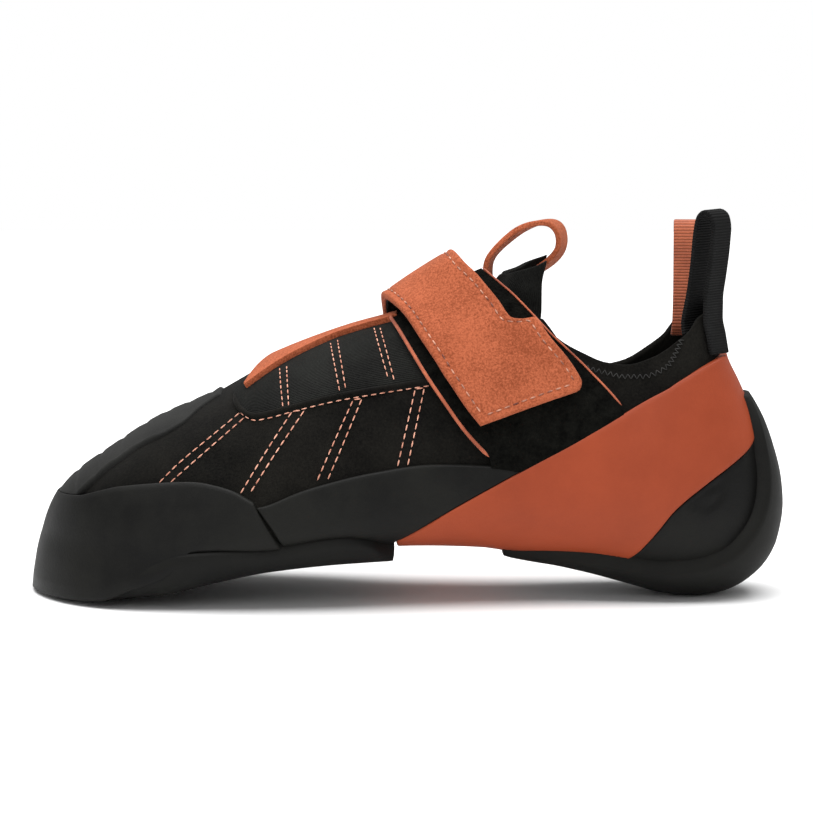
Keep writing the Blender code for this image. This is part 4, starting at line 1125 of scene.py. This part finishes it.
flap = {
    "thickness": 0.0030, "outerRows": 70, "innerRows": 40, "across": 40, "rounding": 0.0010,
    "corner": 0.0040,
    "stitchInset": 0.0029, "groove": 0.00045, "grooveWidth": 0.00055,
    # front edge station, height and lift, rear edge station, height and lift; lifts as shares of the flap
    "outer": [(0.479, 1.015, 2.60, 0.585, 1.168, 5.10), (0.488, 1.003, 2.20, 0.592, 1.147, 4.00),
              (0.498, 0.981, 1.80, 0.599, 1.115, 3.00), (0.507, 0.952, 1.50, 0.607, 1.081, 2.20),
              (0.520, 0.895, 1.25, 0.623, 1.013, 1.50), (0.533, 0.841, 1.12, 0.637, 0.956, 1.30),
              (0.541, 0.807, 1.05, 0.651, 0.952, 1.20), (0.548, 0.775, 1.00, 0.666, 0.955, 1.15),
              (0.559, 0.732, 1.00, 0.682, 0.905, 1.12), (0.570, 0.688, 1.00, 0.700, 0.842, 1.08),
              (0.580, 0.652, 1.00, 0.719, 0.769, 1.05), (0.594, 0.608, 1.00, 0.729, 0.723, 1.05)],
    # tilt, front edge station, lift, rear edge station, lift
    "inner": [(-66.0, 0.480, 0.22, 0.590, 0.22), (-56.0, 0.476, 0.30, 0.582, 0.45),
              (-42.0, 0.473, 0.95, 0.576, 1.90),
              (-26.0, 0.472, 1.80, 0.576, 3.80), (-12.0, 0.474, 2.40, 0.580, 4.90),
              (-2.0, 0.478, 2.60, 0.584, 5.15)],
}


def makeFlap():
    share = np.linspace(0, 1, flap["across"])
    tilt, frontX, frontLift, rearX, rearLift = evenRows(flap["inner"], flap["innerRows"])
    stations = mix(frontX[:, None], rearX[:, None], share)
    lifts = mix(frontLift[:, None], rearLift[:, None], share) * flap["thickness"]
    innerPart = overShoe(stations, np.radians(np.minimum(tilt, -0.01))[:, None] * np.ones_like(share),
                         lifts)
    frontX, frontZ, frontLift, rearX, rearZ, rearLift = evenRows(flap["outer"], flap["outerRows"])
    stations = mix(frontX[:, None], rearX[:, None], share)
    heights = mix(frontZ[:, None], rearZ[:, None], share) * shoe["instepHeight"]
    lifts = mix(frontLift[:, None], rearLift[:, None], share) * flap["thickness"]
    outerPart = overShoe(stations, tiltAtHeight(stations, heights, lifts + flap["thickness"]), lifts)
    spots = np.vstack([innerPart, outerPart])
    relax(spots[len(innerPart) - 13: len(innerPart) + 13])
    return spots


def rimDistance(spots):
    # how far each place of a sheet is from its front, rear and end edges
    front = runAlong(spots, 1)
    return np.minimum(np.minimum(front, front[:, -1:] - front), runAlong(spots[::-1])[::-1])


def sheetNormals(spots):
    normal = unit(np.cross(np.gradient(spots, axis=0), np.gradient(spots, axis=1)))
    middle = normal[len(spots) // 2, spots.shape[1] // 2]
    return normal * np.sign(middle[2])


def slabPiece(name, spots, thickness, material, rounding, relief=None, replaces=()):
    # a closed slab over a laid sheet: its upper face, rounded rim and lower face in one grid
    normal = sheetNormals(spots)
    distance = rimDistance(spots)
    middle = thickness / 2
    rimShape = hemShape(distance, rounding)
    upper = middle + middle * rimShape + (relief(distance) if relief else 0.0)
    lower = middle - middle * rimShape
    high = spots + normal * upper[..., None]
    low = spots + normal * lower[..., None]
    both = np.concatenate([high, low[:, ::-1][:, 1:]], axis=1)
    surface = sheetSurface(spots)
    surface = np.concatenate([surface, surface[:, ::-1][:, 1:]], axis=1)
    return gridPiece(name, both, surface, material, replaces)


slabStops = (0.0, 0.00010, 0.0004, 0.0009, 0.0014, 0.0024, 0.0030, 0.0034)


def denser(spots, spacing):
    # the same sheet with stops close together at its rims
    rows, columns = spots.shape[:2]
    wide = runAlong(spots[rows // 2])[-1]
    high = runAlong(spots[:, columns // 2])[-1]
    v = edgeStops(wide, spacing, slabStops) / wide * (columns - 1)
    u = edgeStops(high, spacing, slabStops) / high * (rows - 1)
    return readAt(spots, *np.meshgrid(u, v, indexing="ij"))


def flapRelief(distance):
    # pressed in along its stitch line
    return -flap["groove"] * np.exp(-((distance - flap["stitchInset"]) / flap["grooveWidth"]) ** 2)


def roundCorner(spots, radius):
    # the last row's end corner, drawn in from a square to a quarter circle
    rearWay, endWay = np.gradient(spots, axis=1), np.gradient(spots, axis=0)
    toRear = np.cumsum(np.linalg.norm(rearWay, axis=-1)[:, ::-1], axis=1)[:, ::-1]
    toEnd = np.cumsum(np.linalg.norm(endWay, axis=-1)[::-1], axis=0)[::-1]
    toRear, toEnd = toRear - toRear[:, -1:], toEnd - toEnd[-1:]
    a, b = np.clip(radius - toRear, 0, None), np.clip(radius - toEnd, 0, None)
    draw = 1 - np.maximum(a, b) / np.maximum(np.hypot(a, b), 1e-9)
    return spots - unit(rearWay) * (a * draw)[..., None] - unit(endWay) * (b * draw)[..., None]


flapSpots = makeFlap()
slabPiece("closing_flap", roundCorner(denser(flapSpots, 0.0016), flap["corner"]), flap["thickness"],
          finishes["orangeSuede"], flap["rounding"], flapRelief, ("strap",))
hookSpots = denser(flapSpots[:, 1:-1][:-1], 0.0030)
slabPiece("hook_layer", hookSpots - sheetNormals(hookSpots) * 0.0010, 0.0012, finishes["loopPile"], 0.0005)
print("flap ready")

# stretch cuff: its front line, then its arms by station, height and reach to the side
cuff = {
    "thickness": 0.0020,
    "front": [(0.560, 0.957), (0.588, 0.986), (0.614, 1.026), (0.628, 1.065)],
    "arm": [(0.672, 0.855, 0.145), (0.679, 0.960, 0.128), (0.680, 1.045, 0.124), (0.687, 1.125, 0.128)],
}
frontX, frontZ = fineTable(cuff["front"], 26)
armX, armZ, armY = fineTable(cuff["arm"], 26)
bend = np.linspace(-math.pi / 2, math.pi / 2, 61)
back = 1 - np.cos(bend)
pucker = 0.0004 * np.sin(bend * 9) * np.linspace(0, 1, 26)[:, None]
cuffSpots = np.stack([
    (mix(frontX[:, None], armX[:, None], back) - 0.5) * shoe["length"] + pucker,
    armY[:, None] * shoe["ballWidth"] * np.sin(bend),
    mix(frontZ[:, None], armZ[:, None], back) * shoe["instepHeight"],
], axis=-1)
cuffPiece = sheetPiece("tongue_cuff", cuffSpots, cuff["thickness"], finishes["stretchKnit"], 0.0007,
                       ("tongue",))
cuffPiece.modifiers["thickness"].offset = 0.0


def ribbonPiece(name, path, across, width, thickness, material, replaces=()):
    reach = unit(np.asarray(across, float)) * width / 2
    share = np.linspace(-1, 1, 9)
    spots = path[:, None] + reach[:, None] * share[None, :, None]
    piece = sheetPiece(name, spots, thickness, material, thickness * 0.38, replaces)
    piece.modifiers["thickness"].offset = 0.0
    return piece


pull = {
    "width": 0.0095, "thickness": 0.0018,
    # station, sideways share, height, turn of the strip
    "path": [(0.6090, 0.000, 1.050, 10.0), (0.6075, 0.000, 1.094, 12.0), (0.6115, 0.000, 1.128, 14.0),
             (0.6248, 0.000, 1.164, 18.0), (0.6409, 0.004, 1.200, 23.0), (0.6569, 0.012, 1.226, 26.0),
             (0.6742, 0.022, 1.240, 26.0), (0.6903, 0.040, 1.241, 23.0), (0.7009, 0.052, 1.228, 20.0),
             (0.7076, 0.060, 1.194, 18.0), (0.7076, 0.066, 1.157, 18.0), (0.7009, 0.072, 1.128, 22.0),
             (0.6903, 0.078, 1.100, 26.0), (0.6740, 0.082, 1.074, 28.0)],
}
x, y, z, turn = evenRows(pull["path"], 110)
pullPath = np.stack([(x - 0.5) * shoe["length"], y * shoe["ballWidth"], z * shoe["instepHeight"]], axis=-1)
relax(pullPath)
turn = np.radians(turn)
ribbonPiece("pull_loop", pullPath, np.stack([np.sin(turn), np.cos(turn), np.zeros_like(turn)], axis=-1),
            pull["width"],
            pull["thickness"], finishes["orangeSuede"], ("tongue_loop",))

heelLoop = {
    "thickness": 0.0015, "gap": 0.0042,
    # way round from the toe tip, top height, width
    "outer": (1.045, 1.285, 0.0100), "inner": (-0.996, 1.235, 0.0096),
    # outward reach and share of the rise
    "arc": [(0.0018, 0.15), (0.0030, 0.38), (0.0042, 0.62), (0.0048, 0.83), (0.0038, 0.96), (0.0012, 1.00),
            (-0.0012, 0.95), (-0.0026, 0.78), (-0.0036, 0.50), (-0.0050, 0.22)],
}


def makeHeelLoop(name, values, material, node):
    way = np.array([values[0] * shoe["length"]])
    rim = collarHeight(way)
    foot = heelRandTop(way) + 0.0010
    middle = heelLoop["thickness"] / 2
    edgeAngle = angleAtHeight(way, rim)
    onRim = onShoe(way, edgeAngle, 0.0)[0]
    out = onShoe(way, edgeAngle, 0.001)[0] - onRim
    out[2] = 0
    out = unit(out)
    along = np.array([-out[1], out[0], 0.0])
    rise = values[1] * shoe["instepHeight"] - rim[0]
    path = [onShoe(way, angleAtHeight(way, np.array([height])), 0.0006 + middle)[0]
            for height in (foot[0], (foot[0] + rim[0]) / 2, rim[0] - 0.0015)]
    path += [onRim + out * outward + np.array([0, 0, rise * share]) for outward, share in heelLoop["arc"]]
    path += [onShoe(way, angleAtHeight(way, np.array([height])), -(0.0026 + middle + heelLoop["gap"]))[0]
             for height in (rim[0] - 0.0015, rim[0] - 0.0060)]
    path = smoothPath(path, 0.0009)
    ribbonPiece(name, path, np.tile(along, (len(path), 1)), values[2], heelLoop["thickness"], material,
                (node,))


makeHeelLoop("webbing_outer", heelLoop["outer"], finishes["blackWebbing"], "heel_loop_outer")
makeHeelLoop("webbing_inner", heelLoop["inner"], finishes["orangeWebbing"], "heel_loop_inner")

insole = {"lift": 0.0024, "thickness": 0.0015, "reach": 0.86, "columns": 201, "rows": 14}


def makeInsole():
    ways = np.linspace(-roundRun, roundRun, insole["columns"])[:, None]
    high = angleAtReach(ways, insole["reach"])
    angle = mix(-math.pi / 2, high, np.linspace(0, 1, insole["rows"]))
    base = onShoe(ways, angle, -insole["lift"])
    piece = gridPiece("insole_sheet", base, base[..., :2], finishes["insoleBoard"], ("insole",))
    wall = piece.modifiers.new("thickness", "SOLIDIFY")
    wall.thickness = insole["thickness"]
    wall.offset = -1.0


makeInsole()
print("cuff, loops and insole ready")

# rows of stitches, in the photograph's pixels
stitching = {
    "vampPairs": [[(243.5, 412), (180, 465.5), (163, 483)], [(248, 417), (180, 477), (174, 483)],
                  [(295, 411), (270, 450), (245, 491.5)], [(307, 410), (279, 452), (252.5, 494)],
                  [(354.5, 400), (336, 441), (318, 482.5)], [(363, 398.6), (346, 440), (328.5, 481)],
                  [(415, 389.5), (406, 429), (397, 468)], [(424, 388), (415.5, 427), (407, 466.6)]],
    "vampTops": [[(243, 412), (249, 417)], [(295, 411), (307, 410)], [(354, 400), (363.5, 398.6)],
                 [(415, 389.5), (424.5, 388)]],
    "gorePairs": [[(282, 368), (284, 388), (286.5, 409)], [(289, 366), (290.5, 387), (292, 408)],
                  [(332, 343), (337, 368), (342, 394)], [(339, 340), (343.5, 366), (348, 393)],
                  [(375, 328), (382, 355), (390, 384)], [(381, 328), (388, 355), (395, 383)]],
    "gore": [(240, 408), (248, 416), (259, 420), (271, 418), (305, 409), (339, 401), (373, 395),
             (407, 389.5),
             (436, 385)],
    "collar": [(572, 360), (584, 368), (606, 374), (620, 377), (640, 377), (656, 372), (670, 362),
               (682, 350),
               (692, 340)],
}
for path in stitching["vampPairs"] + stitching["vampTops"]:
    stitchLine("peach", *onPhotoPath(path, 0.0003, 0.001), length=0.0022, gap=0.0008, radius=0.00026)
for path in stitching["gorePairs"]:
    stitchLine("peach", *onPhotoPath(path, 0.0011, 0.001), length=0.0019, gap=0.0008, radius=0.00024)
stitchLine("peach", *onPhotoPath(stitching["gore"], 0.0004, 0.001), length=0.0019, gap=0.0010,
           radius=0.00024)

collarPath, collarNormal = onPhotoPath(stitching["collar"], 0.0003, 0.0010)
zig = np.where(np.arange(len(collarPath)) % 2 == 0, 1.0, -1.0)
heading = unit(np.gradient(collarPath, axis=0))
aside = unit(np.cross(heading, collarNormal))
zigPath = collarPath + aside * (zig * 0.0009)[:, None]
for a, b, up in zip(zigPath, zigPath[1:], collarNormal):
    stitchRuns.setdefault("grey", []).append(([a, (a + b) / 2, b], up, 0.00017))

# a stitch line set in from the flap's front, rear and end edges
flapNormals = sheetNormals(flapSpots)
flapWide, flapHigh = runAlong(flapSpots, 1), runAlong(flapSpots[::-1])[::-1]


def flapSpot(i, j):
    at = np.array(i, float), np.array(j, float)
    return readAt(flapSpots, *at), readAt(flapNormals, *at)


inset = flap["stitchInset"]
frontRow, rearRow, endRow = [], [], []
for i in range(flap["innerRows"] - 2, len(flapSpots)):
    for row, reach, column in ((frontRow, inset, 0), (rearRow, flapWide[i, -1] - inset, -1)):
        if flapHigh[i, column] > inset:
            row.append(flapSpot(i, np.interp(reach, flapWide[i], np.arange(flap["across"]))))
for j in range(flap["across"]):
    if min(flapWide[-1, j], flapWide[-1, -1] - flapWide[-1, j]) > inset:
        endRow.append(flapSpot(np.interp(-inset, -flapHigh[:, j], np.arange(len(flapSpots))), j))
for row in (frontRow, endRow, rearRow):
    normal = np.array([up for spot, up in row])
    path = np.array([spot for spot, up in row]) + normal * (flap["thickness"] - 0.00018)
    stitchLine("orange", path, normal, length=0.0020, gap=0.0010, radius=0.00030)

makeStitches("peach", "peach_stitches", finishes["peachThread"])
makeStitches("grey", "collar_stitches", finishes["greyThread"])
makeStitches("orange", "flap_stitches", finishes["orangeThread"])
print("stitching ready")

# floor, light and camera
studio = {
    "camera": {"place": (0.0, -1.3896, 0.2332), "tilt": 83.0, "lens": 185.7, "sensor": 36.0},
    "floor": 1.5, "floorTone": (0.92, 0.92, 0.92), "soft": 0.46,
    # name, place, size, power, aim
    "lamps": [("overhead", (0.0, 0.0, 2.2), 3.0, 112.0, (0, 0, 0)),
              ("front", (-0.5, -1.8, 0.9), 0.9, 5.0, (0, 0, 0.05))],
}
ground = bmesh.new()
bmesh.ops.create_grid(ground, x_segments=1, y_segments=1, size=studio["floor"])
floorMesh = bpy.data.meshes.new("studio_floor")
ground.to_mesh(floorMesh)
ground.free()
floor = bpy.data.objects.new("studio_floor", floorMesh)
bpy.context.scene.collection.objects.link(floor)
floorFinish = bpy.data.materials.new("paleFloor")
floorFinish.use_nodes = True
floorTree = floorFinish.node_tree
floorShader = floorTree.nodes["Principled BSDF"]
floorShader.inputs["Base Color"].default_value = (*studio["floorTone"], 1)
floorShader.inputs["Roughness"].default_value = 0.9
floorMesh.materials.append(floorFinish)

world = bpy.data.worlds.new("studio")
bpy.context.scene.world = world
world.use_nodes = True
skyTree = world.node_tree
softLight = skyTree.nodes["Background"]
softLight.inputs["Color"].default_value = (1, 1, 1, 1)
softLight.inputs["Strength"].default_value = studio["soft"]
backdrop = addNode(skyTree, "ShaderNodeBackground", {"Color": (1, 1, 1, 1), "Strength": 1.0})
seen = addNode(skyTree, "ShaderNodeLightPath")
choice = addNode(skyTree, "ShaderNodeMixShader")
skyTree.links.new(seen.outputs["Is Camera Ray"], choice.inputs["Fac"])
skyTree.links.new(softLight.outputs["Background"], choice.inputs[1])
skyTree.links.new(backdrop.outputs["Background"], choice.inputs[2])
skyTree.links.new(choice.outputs["Shader"], skyTree.nodes["World Output"].inputs["Surface"])

for name, place, size, power, aim in studio["lamps"]:
    lamp = bpy.data.lights.new(name, "AREA")
    lamp.energy = power
    lamp.size = size
    holder = bpy.data.objects.new(name, lamp)
    holder.location = place
    holder.rotation_euler = (Vector(aim) - Vector(place)).to_track_quat("-Z", "Y").to_euler()
    bpy.context.scene.collection.objects.link(holder)
bpy.context.scene.view_settings.view_transform = "Standard"

lens = bpy.data.cameras.new("photo_camera")
lens.sensor_width = studio["camera"]["sensor"]
lens.lens = studio["camera"]["lens"]
lens.clip_end = 30.0
camera = bpy.data.objects.new("photo_camera", lens)
camera.location = studio["camera"]["place"]
camera.rotation_euler = (math.radians(studio["camera"]["tilt"]), 0.0, 0.0)
bpy.context.scene.collection.objects.link(camera)
bpy.context.scene.camera = camera

print("scene ready")
